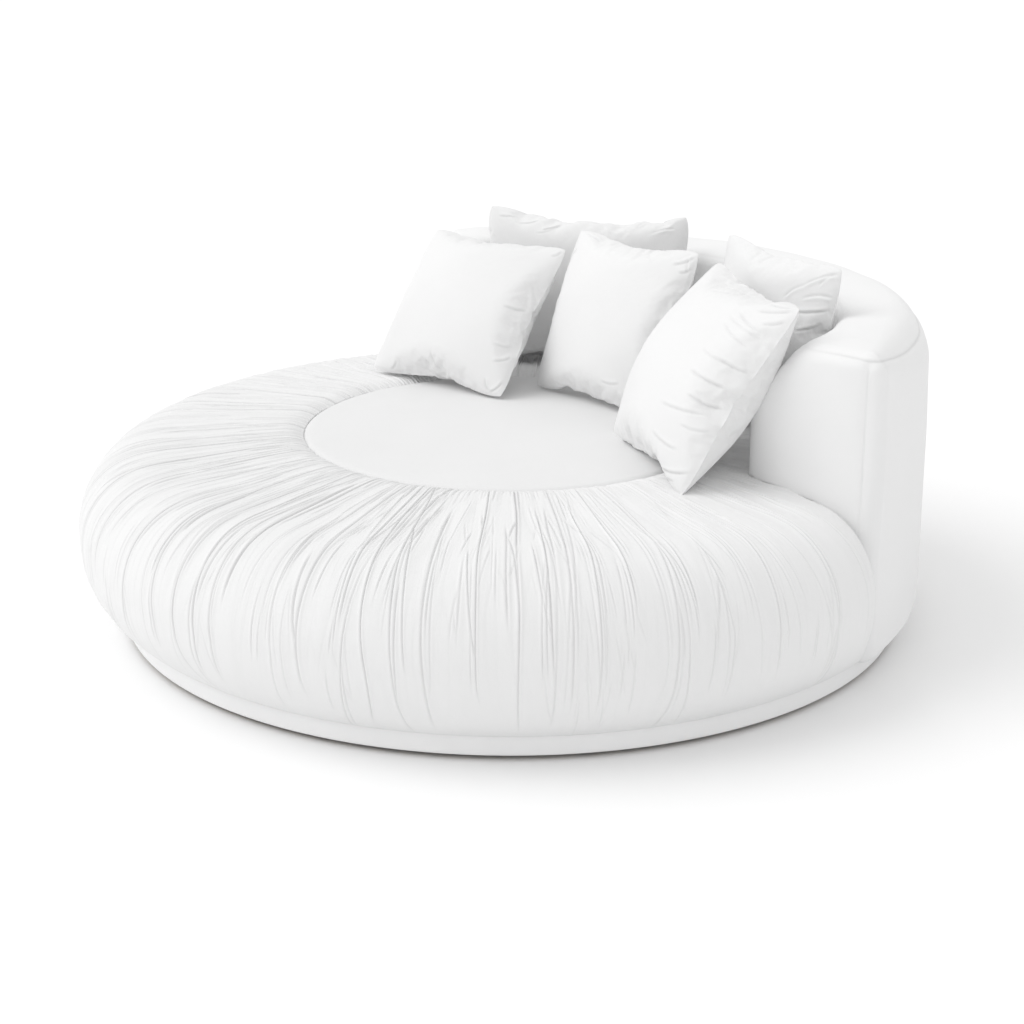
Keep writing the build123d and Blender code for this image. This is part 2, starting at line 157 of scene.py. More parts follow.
class DAYBED_PG_cloth(bpy.types.PropertyGroup):
    """Colours and weave of the cloths."""
    ring: cloth_colour("Ring cloth", "the gathered cloth", 0.84)
    panel: cloth_colour("Panel cloth", "the centre panel", 0.81)
    backrest: cloth_colour("Backrest cloth", "the backrest", 0.87)
    pillows: cloth_colour("Pillow cloth", "the pillows", 0.84)
    band: cloth_colour("Band cloth", "the plinth band", 0.93)
    thread: FloatProperty(
        name="Thread pitch", description="Distance between the threads", default=1.6 * MM, unit="LENGTH")


class DAYBED_PG_stage(bpy.types.PropertyGroup):
    """Camera and lights."""
    camera_place: FloatVectorProperty(
        name="Camera place", description="Where the camera stands", size=3, subtype="TRANSLATION",
        default=(3.923, -2.379, 1.768))
    camera_heading: FloatVectorProperty(
        name="Camera heading", description="Level direction of the view", size=2, default=(-0.855, 0.519))
    camera_pitch: FloatProperty(
        name="Camera pitch", description="How far the view points down", default=radians(18.56),
        subtype="ANGLE")
    lens: FloatProperty(name="Lens", description="Focal length", default=65.04, subtype="DISTANCE_CAMERA")
    sky: FloatProperty(name="Sky", description="Strength of the white surround", default=0.86)
    key: FloatProperty(
        name="Key light", description="Strength of the light from the upper left", default=1.05)
    key_from: FloatVectorProperty(
        name="Key from", description="Direction that the key light comes from", size=3, subtype="DIRECTION",
        default=(-0.38, -0.61, 0.78))
    key_spread: FloatProperty(
        name="Key spread", description="Angle over which the key light is spread", default=radians(50),
        subtype="ANGLE")


class DAYBED_PG_settings(bpy.types.PropertyGroup):
    """All the day bed's settings."""
    seat: PointerProperty(type=DAYBED_PG_seat)
    cloth: PointerProperty(type=DAYBED_PG_cloth)
    stage: PointerProperty(type=DAYBED_PG_stage)


class Field:
    """An output socket of a material, on which Python's operators add Math nodes."""

    def __init__(self, finish, socket):
        self.finish = finish
        self.socket = socket

    def math(self, operation, *values):
        inputs = dict(enumerate(values))
        return self.finish.node("ShaderNodeMath", {"operation": operation}, inputs)

    def __add__(self, other):
        return self.math("ADD", self, other)

    def __sub__(self, other):
        return self.math("SUBTRACT", self, other)

    def __rsub__(self, other):
        return self.math("SUBTRACT", other, self)

    def __mul__(self, other):
        return self.math("MULTIPLY", self, other)

    def __abs__(self):
        return self.math("ABSOLUTE", self)

    def sine(self):
        return self.math("SINE", self)

    def clamped(self):
        return self.finish.node("ShaderNodeClamp", {}, {"Value": self})

    __radd__ = __add__


class Finish:
    """A node-based material while it is made."""

    def __init__(self, name, **constants):
        self.material = bpy.data.materials.new(name)
        self.material.use_nodes = True
        self.tree = self.material.node_tree
        self.shader = self.tree.nodes["Principled BSDF"]
        for socket, value in constants.items():
            self.shader.inputs[socket.replace("_", " ")].default_value = value

    def node(self, kind, settings, inputs, output=0):
        made = self.tree.nodes.new(kind)
        for key, value in settings.items():
            setattr(made, key, value)
        for key, value in inputs.items():
            self.feed(made.inputs[key], value)
        return Field(self, made.outputs[output])

    def feed(self, socket, value):
        if isinstance(value, Field):
            self.tree.links.new(value.socket, socket)
        else:
            socket.default_value = value

    def shade(self, socket, value):
        self.feed(self.shader.inputs[socket], value)

    def noise(self, vector, scale, detail=2.0, roughness=0.5):
        inputs = {"Vector": vector, "Scale": scale, "Detail": detail, "Roughness": roughness}
        return self.node("ShaderNodeTexNoise", {}, inputs)

    def place(self):
        return self.node("ShaderNodeTexCoord", {}, {}, "Object")

    def stretched(self, vector, scale):
        return self.node("ShaderNodeVectorMath", {"operation": "MULTIPLY"}, {0: vector, 1: scale})

    def blend(self, factor, low, high):
        """From one colour to another by a factor."""
        settings = {"data_type": "RGBA"}
        inputs = {"Factor": factor, 6: (*low, 1), 7: (*high, 1)}
        return self.node("ShaderNodeMix", settings, inputs, 2)

    def bump(self, height, strength, distance, under=None):
        inputs = {"Height": height, "Strength": strength, "Distance": distance}
        if under:
            inputs["Normal"] = under
        bumped = self.node("ShaderNodeBump", {}, inputs)
        self.shade("Normal", bumped)
        return bumped

    def attribute(self, name):
        return self.node("ShaderNodeAttribute", {"attribute_name": name}, {}, "Fac")

    def creases(self, pattern, scale, sharpness):
        """Thin long lines that wander, fork and meet, where a stretched noise passes its middle."""
        middle = self.noise(self.stretched(pattern, scale), 1, 1.5) - 0.5
        return (1 - abs(middle) * sharpness).clamped()


def scaled(values, share):
    return tuple(value * share for value in values)


def cloth_finish(name, colour, settings, gathered=False):
    """Plain woven cloth: crossing threads, a few thicker ones, soft mottling, and painted shade that darkens
    its creases.
    """
    thread_noise, long_noise = 900, 60    # waves per metre across and along a thread
    made = Finish(name, Sheen_Weight=0.25, Sheen_Roughness=0.45, Specular_IOR_Level=0.25)
    pattern = made.node("ShaderNodeUVMap", {"uv_map": "cloth"}, {})
    split = made.node("ShaderNodeSeparateXYZ", {}, {"Vector": pattern})
    across, along = split, Field(made, split.socket.node.outputs["Y"])
    turns = tau / settings.thread
    weave = (across * turns).sine() * (along * turns).sine()
    warp = made.noise(made.stretched(pattern, (thread_noise, long_noise, 1)), 1, 1)
    weft = made.noise(made.stretched(pattern, (long_noise, thread_noise, 1)), 1, 1)
    threads = weave * 0.35 + warp + weft
    mottle = made.noise(made.place(), 5, 3, 0.55)
    # Darkening of the base colour: the crease mask is painted shade in the folds' valleys, while mottle and
    # warp are the cloth's own uneven tone.
    dark = made.attribute("crease") * 0.45 + (1 - mottle) * 0.12 + (1 - warp) * 0.06
    under = None
    if gathered:
        lines = made.creases(pattern, (26, 2.2, 1), 20) + made.creases(pattern, (52, 5, 1), 18) * 0.4
        lines = lines * made.attribute("gathered")
        under = made.bump(1 - lines, 0.5, 0.9 * MM)
        # Painted shade along the fine gather lines.
        dark = dark + lines * 0.08
    # Blends towards a darker copy of the cloth's colour, where painted shade and uneven tone call for it.
    made.shade("Base Color", made.blend(dark.clamped(), colour, scaled(colour, 0.68)))
    made.shade("Roughness", 0.86 + mottle * 0.1)
    made.bump(threads, 0.35, 0.35 * MM, under)
    return made.material


def timber_finish(name, light, dark, grain_scale):
    """Sawn wood with long grain and a few darker rings."""
    pore_scale = scaled(grain_scale, 9)
    made = Finish(name, Specular_IOR_Level=0.3)
    place = made.place()
    rings = made.noise(made.stretched(place, grain_scale), 1, 5, 0.6)
    pores = made.noise(made.stretched(place, pore_scale), 1, 2, 0.7)
    grain = (rings * 1.4 + pores * 0.4 - 0.45).clamped()
    made.shade("Base Color", made.blend(grain, light, dark))
    made.shade("Roughness", 0.6 + pores * 0.2)
    made.bump(pores, 0.4, 0.3 * MM)
    return made.material


def plain_finish(name, light, dark, scale, roughness, metallic=0.0, bump=0.2 * MM):
    """Steel, plastic or fleece: mottled, with a fine grain."""
    made = Finish(name, Metallic=metallic)
    mottle = made.noise(made.place(), scale, 4, 0.6)
    fine = made.noise(made.place(), scale * 12, 2, 0.6)
    made.shade("Base Color", made.blend(mottle, light, dark))
    made.shade("Roughness", roughness + fine * 0.15)
    made.bump(fine, 0.4, bump)
    return made.material


def linked(name, mesh):
    piece = bpy.data.objects.new(name, mesh)
    bpy.context.scene.collection.objects.link(piece)
    return piece


def mesh_of(name, bm):
    mesh = bpy.data.meshes.new(name)
    bm.to_mesh(mesh)
    bm.free()
    return mesh


def points_of(mesh):
    flat = np.empty(len(mesh.vertices) * 3)
    mesh.vertices.foreach_get("co", flat)
    return flat.reshape(-1, 3)


def set_points(mesh, points):
    mesh.vertices.foreach_set("co", points.ravel())
    mesh.update()


def normals_of(mesh):
    flat = np.empty(len(mesh.vertices) * 3)
    mesh.vertex_normals.foreach_get("vector", flat)
    return flat.reshape(-1, 3)


def values_of(mesh, name):
    values = np.empty(len(mesh.vertices), np.float32)
    mesh.attributes[name].data.foreach_get("value", values)
    return values


def set_values(mesh, name, values):
    layer = mesh.attributes.get(name) or mesh.attributes.new(name, "FLOAT", "POINT")
    layer.data.foreach_set("value", np.asarray(values, np.float32))


def set_pattern(mesh, across, along):
    """The cloth's own coordinates in metres as a UV map, where a round piece's join isn't stretched."""
    corners = np.empty(len(mesh.loops), np.int32)
    mesh.loops.foreach_get("vertex_index", corners)
    u, v = across[corners], along[corners]
    starts = np.empty(len(mesh.polygons), np.int32)
    totals = np.empty(len(mesh.polygons), np.int32)
    mesh.polygons.foreach_get("loop_start", starts)
    mesh.polygons.foreach_get("loop_total", totals)
    face_of = np.repeat(np.arange(len(starts)), totals)
    highest = np.maximum.reduceat(u, starts)[face_of]
    length = across.max() - across.min()
    u = np.where(highest - u > length / 2, u + length, u)
    layer = mesh.uv_layers.new(name="cloth")
    layer.data.foreach_set("uv", np.column_stack((u, v)).ravel().astype(np.float32))


def smoothed(mesh):
    mesh.polygons.foreach_set("use_smooth", np.ones(len(mesh.polygons), bool))
    mesh.update()


def evaluated(piece):
    """The piece's mesh with its modifiers applied, which then come off."""
    graph = bpy.context.evaluated_depsgraph_get()
    mesh = bpy.data.meshes.new_from_object(piece.evaluated_get(graph), depsgraph=graph)
    piece.modifiers.clear()
    piece.data = mesh
    return mesh


def dressed(piece, body, material, nodes):
    """Finishes a padded piece and ties it to the frame."""
    smoothed(piece.data)
    piece.data.materials.clear()
    piece.data.materials.append(material)
    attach(piece, body)
    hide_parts(*nodes)


def arc_points(start, through, end, count):
    """Points on the circle arc through three places."""
    a, b, c = (np.array(p) for p in (start, through, end))
    rows = np.array([b - a, c - a])
    centre = np.linalg.solve(2 * rows, np.array([b @ b - a @ a, c @ c - a @ a]))
    first, middle, last = (np.arctan2(*(p - centre)[::-1]) for p in (a, b, c))
    turn = (last - first + pi) % tau - pi
    if ((middle - first + pi) % tau - pi) * turn < 0:
        turn -= np.sign(turn) * tau
    angles = first + turn * np.linspace(0, 1, count)
    return centre + np.linalg.norm(a - centre) * np.column_stack((np.cos(angles), np.sin(angles)))


def along_line(points):
    """Running length at each point of a line."""
    return np.concatenate(([0], np.cumsum(np.linalg.norm(np.diff(points, axis=0), axis=1))))


def resampled(points, stations):
    length = along_line(points)
    return np.column_stack([np.interp(stations, length, points[:, k]) for k in range(2)])


def spun(name, profile, steps, cuts, closed):
    """A profile of radii and heights spun about the Z axis, each step then cut into more columns.

    Each vertex keeps its row of the profile.
    """
    bm = bmesh.new()
    row = bm.verts.layers.float.new("row")
    line = []
    for k, (radius, height) in enumerate(profile):
        vert = bm.verts.new((radius, 0, height))
        vert[row] = k
        line.append(vert)
    pairs = list(zip(line, line[1:])) + ([(line[-1], line[0])] if closed else [])
    edges = [bm.edges.new(pair) for pair in pairs]
    bmesh.ops.spin(
        bm, geom=line + edges, cent=(0, 0, 0), axis=(0, 0, 1), dvec=(0, 0, 0), angle=tau, steps=steps,
        use_merge=True)
    if not closed:
        poles = [v for v in bm.verts if v.co.xy.length < SMALL]
        bmesh.ops.remove_doubles(bm, verts=poles, dist=SMALL)
    level = [e for e in bm.edges if e.verts[0][row] == e.verts[1][row] and e.verts[0].co.xy.length > SMALL]
    bmesh.ops.subdivide_edges(bm, edges=level, cuts=cuts)
    bmesh.ops.recalc_face_normals(bm, faces=bm.faces)
    mesh = mesh_of(name, bm)
    points = points_of(mesh)
    radii = np.array(profile)[np.round(values_of(mesh, "row")).astype(int), 0]
    flat = np.hypot(points[:, 0], points[:, 1])
    points[:, :2] *= (radii / np.maximum(flat, SMALL))[:, None]
    set_points(mesh, points)
    return mesh


def eased(x):
    x = np.clip(x, 0, 1)
    return x * x * (3 - 2 * x)


def end_plane(side):
    """Level directions at one end of the backrest: out of its end plane, and along it outwards."""
    normal = np.array([side * cos(BACK_HALF_SPAN), -sin(BACK_HALF_SPAN)])
    out = np.array([side * sin(BACK_HALF_SPAN), cos(BACK_HALF_SPAN)])
    return normal, out


def back_outline(inset, steps):
    """The plan of the backrest drawn in by an inset, a closed loop of always as many points."""
    inner, outer = BACK_INNER_RADIUS + inset, BACK_RADIUS - inset
    right_in, right_out = corner_centres(inner, outer, inset, *end_plane(1))
    left_in, left_out = corner_centres(inner, outer, inset, *end_plane(-1))
    loop = arc_between(left_in[2], right_in[2], inner, steps["inner"])
    loop += fillet_points(right_in, steps["inner_corner"])
    loop += line_between(right_in[1], right_out[1], steps["end"])
    loop += fillet_points(right_out, steps["outer_corner"], True)
    loop += arc_between(right_out[2], left_out[2], outer, steps["outer"])
    loop += fillet_points(left_out, steps["outer_corner"])
    loop += line_between(left_out[1], left_in[1], steps["end"])
    loop += fillet_points(left_in, steps["inner_corner"], True)
    return np.array(loop)


def corner_centres(inner, outer, inset, normal, out):
    """For an end's two corners: the fillet's centre, where it meets the end and the arc, and its radius."""
    corners = []
    for radius, corner, way in ((inner, BACK_INNER_CORNER, 1), (outer, BACK_OUTER_CORNER, -1)):
        fillet = max(corner - inset, SMALL)
        reach = radius + way * fillet
        depth = inset + fillet
        centre = -depth * normal + np.sqrt(max(reach ** 2 - depth ** 2, 0)) * out
        on_end = centre + fillet * normal
        on_arc = centre - way * fillet * centre / np.linalg.norm(centre)
        corners.append((centre, on_end, on_arc, fillet))
    return corners


def arc_between(start, end, radius, count):
    first, last = np.arctan2(start[1], start[0]), np.arctan2(end[1], end[0])
    angles = np.linspace(first, last, count, endpoint=False)
    return [(radius * cos(a), radius * sin(a)) for a in angles]


def line_between(start, end, count):
    return [tuple(start + (end - start) * k / count) for k in range(count)]


def fillet_points(corner, count, to_arc=False):
    centre, on_end, on_arc, fillet = corner
    start, end = (on_end, on_arc) if to_arc else (on_arc, on_end)
    first = np.arctan2(*(start - centre)[::-1])
    turn = (np.arctan2(*(end - centre)[::-1]) - first + pi) % tau - pi
    return [tuple(centre + fillet * np.array((cos(first + turn * k / count), sin(first + turn * k / count))))
            for k in range(count)]


def behind_end(points):
    """Level distance from the nearer end plane of the backrest, into it."""
    return points[:, 1] * sin(BACK_HALF_SPAN) - np.abs(points[:, 0]) * cos(BACK_HALF_SPAN)


def wall_distance(points):
    """Level distance from the backrest's plan, negative behind its inner face and between its ends."""
    past_end = -behind_end(points)
    past_face = BACK_INNER_RADIUS - np.hypot(points[:, 0], points[:, 1])
    corner = BACK_INNER_CORNER
    rounded = np.hypot(np.maximum(past_end + corner, 0), np.maximum(past_face + corner, 0)) - corner
    inside = np.minimum(np.maximum(past_end, past_face) + corner, 0)
    return rounded + inside


def move_out(points, distance):
    """Moves points away from the middle axis, each by its own distance."""
    radius = np.maximum(np.hypot(points[:, 0], points[:, 1]), SMALL)
    points[:, :2] *= (1 + distance / radius)[:, None]


FULLEST = radians(-112)     # where the gathers are fullest, counted from +X
PILE_LIMIT = 4 * MM         # the highest that ridges pile up
CROWD_CELL = 12             # columns in one cell of the count of folds
CROWD_FREE = 1.5            # folds that lie side by side before the next ones grow shallower
CROWD_DEPTH = 5 * MM        # depth of a fold that counts as one
BEFORE_SEAM = -5 * CM       # a fold that starts here is already at its full depth in the seam
FOLD_ENDS = ((0.35, 0.7), (0.55, 0.9), (0.8, 1.1))    # shares of the profile between which a fold may end
SEAM_PLEATS = 330
PUCKERS_PER_FOLD = 4
PUCKER_BUNCH = 6


class Fold(NamedTuple):
    """One fold: its angle at each row, its two ends along the profile, and its section."""
    line: np.ndarray
    start: float
    end: float
    depth: float
    width: float
    lean: int         # the side of the valley on which the ridge stands
    ridge: float      # height of the ridge as a share of the depth
    fade: float = 9 * CM


class Gathers:
    """The folds of the gathered ring as a height over its columns and rows, in metres."""

    def __init__(self, columns, stations, radii, seed):
        self.random = np.random.RandomState(seed)
        self.columns = columns
        self.stations = stations
        self.length = stations[-1]
        self.radii = radii
        self.height = np.zeros((len(stations), columns))
        self.valley = np.zeros_like(self.height)
        self.crowd = np.zeros((len(stations), columns // CROWD_CELL))

    def side(self):
        return self.random.choice((-1, 1))

    def fullness(self, angle):
        """How full the gathers are: 1 at the left and front, less towards the right end."""
        return 0.5 + 0.5 * np.cos(angle - FULLEST)

    def centre_line(self, angle, drift, wander, curl):
        """Angle of a fold at each row: it drifts, wanders in two waves and curls at the foot."""
        share = self.stations / self.length
        phase = self.random.uniform(0, tau)
        side = drift * share + wander * (np.sin(2.6 * share + phase) - sin(phase))
        side = side + 1.6 * MM * np.sin(self.random.uniform(9, 17) * share + phase)
        side = side + curl * eased((share - 0.72) / 0.28) ** 2
        return angle + side / self.radii

    def lay(self, fold):
        """Adds one fold: a sharp valley, a rounded ridge beside it and a lower one on its other side."""
        shares = eased((self.stations - fold.start) / fold.fade + 0.5)
        shares *= eased((fold.end - self.stations) / fold.fade + 0.5)
        rows = np.nonzero(shares > 0.01)[0]
        if not len(rows):
            return
        width, lean = fold.width, fold.lean
        reach = int(7 * width / (tau * self.radii[rows].min() / self.columns)) + 2
        middle = fold.line[rows] / tau * self.columns
        cells = np.floor(middle).astype(int)[:, None] + np.arange(-reach, reach + 1)
        across = (cells - middle[:, None]) * (tau / self.columns) * self.radii[rows][:, None]
        cut = np.exp(-(across / width) ** 2)
        ridge = np.exp(-((across - lean * 2.1 * width) / (1.7 * width)) ** 2)
        ridge += 0.45 * np.exp(-((across + lean * 2.6 * width) / (2.1 * width)) ** 2)
        amount = (shares[rows] * self.room(rows, middle, fold.depth))[:, None] * fold.depth
        here = rows[:, None], cells % self.columns
        self.height[here] += amount * fold.ridge * ridge
        self.valley[here] = np.maximum(self.valley[here], amount * cut)

    def room(self, rows, middle, depth):
        """How much of a new fold is left, row by row, where others already crowd. It then joins the crowd."""
        places = self.crowd.shape[1]
        cell = np.round(middle / CROWD_CELL).astype(int)
        around = sum(self.crowd[rows, (cell + step) % places] for step in (-1, 0, 1))
        window = np.ones(9) / 9
        around = np.convolve(np.pad(around, len(window) // 2, "edge"), window, "valid")
        share = 1 / (1 + np.maximum(around - CROWD_FREE, 0))
        for step in (-1, 0, 1):
            self.crowd[rows, (cell + step) % places] += share * depth / CROWD_DEPTH / 2
        return share

    def surface(self):
        """The cloth's height: ridges that don't pile up without end, and the deepest valley at each place."""
        return PILE_LIMIT * np.tanh(self.height / PILE_LIMIT) - self.valley

    def add(self, count, depth):
        """All the folds: main ones, their forks, close companions, and short ones at the seam and across."""
        draw = self.random
        angle = draw.uniform(0, tau)
        stop = angle + tau
        while angle < stop:
            full = self.fullness(angle)
            strength = depth * (0.35 + 0.65 * full) * draw.uniform(0.4, 1.1)
            drift, wander = draw.normal(0, 45 * MM), draw.normal(0, 14 * MM)
            curl = draw.choice((0, 0, 1)) * draw.normal(0, 50 * MM)
            line = self.centre_line(angle, drift, wander, curl)
            low, high = draw.uniform(2 * CM, 20 * CM), draw.uniform(10 * CM, 45 * CM)
            start = draw.choice((BEFORE_SEAM, BEFORE_SEAM, low, high))
            end = self.length * draw.choice([draw.uniform(*shares) for shares in FOLD_ENDS])
            width = draw.uniform(1.5, 2.5) * MM
            lean = self.side()
            ridge = draw.uniform(0.45, 0.75) + 0.35 * (1 - full)
            fold = Fold(line, start, end, strength, width, lean, ridge)
            self.lay(fold)
            self.forks(fold)
            near, far = draw.uniform(0.35, 0.8), draw.uniform(0.8, 1.8)
            angle += tau / count * draw.choice((near, far)) * (1.5 - 0.6 * full)
        self.seam_pleats(depth)
        self.puckers(PUCKERS_PER_FOLD * count, depth)

    def forks(self, fold):
        """Branches that leave a fold or run into it, and sometimes a close companion."""
        draw = self.random
        first = max(fold.start, 0)
        for _ in range(draw.choice((0, 1, 2, 2, 3))):
            start = draw.uniform(first, first + 0.7 * (fold.end - first))
            end = min(fold.end, start + draw.uniform(10 * CM, 42 * CM))
            share = np.clip((self.stations - start) / max(end - start, SMALL), 0, 1)
            if draw.uniform() < 0.35:
                share = 1 - share
            spread = self.side() * draw.uniform(8 * MM, 34 * MM)
            line = fold.line + spread * (1 - np.exp(-2.2 * share)) / self.radii
            depth = fold.depth * draw.uniform(0.5, 0.95)
            self.lay(Fold(line, start, end, depth, 0.9 * fold.width, -fold.lean, fold.ridge, 5 * CM))
        if draw.uniform() < 0.45:
            line = fold.line + self.side() * draw.uniform(7 * MM, 11 * MM) / self.radii
            start = draw.uniform(5 * CM, 50 * CM)
            end = start + draw.uniform(12 * CM, 35 * CM)
            depth, width = 0.7 * fold.depth, 0.8 * fold.width
            self.lay(Fold(line, start, end, depth, width, fold.lean, fold.ridge, 6 * CM))

    def seam_pleats(self, depth):
        """Short pleats where the cloth is gathered into the round seam."""
        draw = self.random
        for k in range(SEAM_PLEATS):
            angle = tau * (k + draw.uniform(-0.4, 0.4)) / SEAM_PLEATS
            full = self.fullness(angle)
            line = self.centre_line(angle, draw.normal(0, 20 * MM), 0, 0)
            end = draw.uniform(2 * CM, 10 * CM) + draw.choice((0, 0, 10 * CM)) * full
            strength = depth * (0.2 + 0.35 * full) * draw.uniform(0.4, 1)
            self.lay(Fold(line, BEFORE_SEAM, end, strength, 2.1 * MM, self.side(), 0.8, 3.5 * CM))

    def puckers(self, count, depth):
        """Short fine creases that cross the main ones at a slight slant, in bunches."""
        draw = self.random
        middle, height = 0, 0
        for k in range(count):
            if k % PUCKER_BUNCH == 0:
                middle, height = draw.uniform(0, tau), draw.uniform(0.05, 0.8) * self.length
            if draw.uniform() > 0.15 + 0.85 * self.fullness(middle):
                continue
            angle = middle + draw.normal(0, 0.016)
            start = max(height + draw.normal(0, 7 * CM), 2 * CM)
            end = start + draw.uniform(5 * CM, 16 * CM)
            slant = draw.normal(0, 0.11)
            line = angle + slant * (self.stations - start) / self.radii
            strength, width = depth * draw.uniform(0.2, 0.5), draw.uniform(1.3, 1.9) * MM
            self.lay(Fold(line, start, end, strength, width, self.side(), 0.6, 5 * CM))

    def swells(self, amount):
        """Soft broad puffs between the folds, longer along the cloth than across it."""
        knots = 9                      # places along the profile between which the puffs change
        waves = np.arange(14, 150)     # puffs round the ring
        signals = []
        for _ in range(knots):
            power = np.zeros(self.columns // 2 + 1, complex)
            turns = self.random.uniform(0, tau, len(waves))
            power[waves] = np.exp(1j * turns) * (waves / waves[0]) ** -0.7
            signal = np.fft.irfft(power, self.columns)
            signals.append(signal / signal.std())
        place = np.linspace(0, knots - 1, len(self.stations))
        low = np.minimum(place.astype(int), knots - 2)
        mix = eased(place - low)[:, None]
        field = np.array(signals)
        self.height += amount * ((1 - mix) * field[low] + mix * field[low + 1])


def seat_profile(step):
    """The seat's shown line from the seam to the foot: points, and the running length at each."""
    under = arc_points(FOOT, TUCK, WAIST, 60)
    over = arc_points(WAIST, SHOULDER, CROWN, 60)
    line = np.vstack((under, over[1:], [SEAM]))[::-1]
    line = softened(line, np.hypot(CROWN[0] - SEAM[0], CROWN[1] - SEAM[1]), SEAM_SOFTNESS)
    length = along_line(line)[-1]
    by_seam = np.array([0, 2, 4, 7, 10, 14, 19, 25, 32, 40]) * MM
    by_foot = length - np.array([7, 3, 0]) * MM
    first, last = 48 * MM, length - 12 * MM
    between = np.linspace(first, last, round((last - first) / step))
    stations = np.concatenate((by_seam, between, by_foot))
    return resampled(line, stations), stations


def softened(line, middle, spread):
    """A line with the bend at one running length drawn out over a distance."""
    even = np.linspace(0, along_line(line)[-1], 300)
    points = resampled(line, even)
    near = np.exp(-((even[:, None] - even) / spread) ** 2)
    soft = near @ points / near.sum(axis=1)[:, None]
    share = eased(1 - np.abs(even - middle) / (4 * spread))
    return points + share[:, None] * (soft - points)


def profile_normals(points):
    slope = np.gradient(points, axis=0)
    normals = np.column_stack((-slope[:, 1], slope[:, 0]))
    normals /= np.linalg.norm(normals, axis=1)[:, None]
    return normals * np.sign(normals[0, 1])


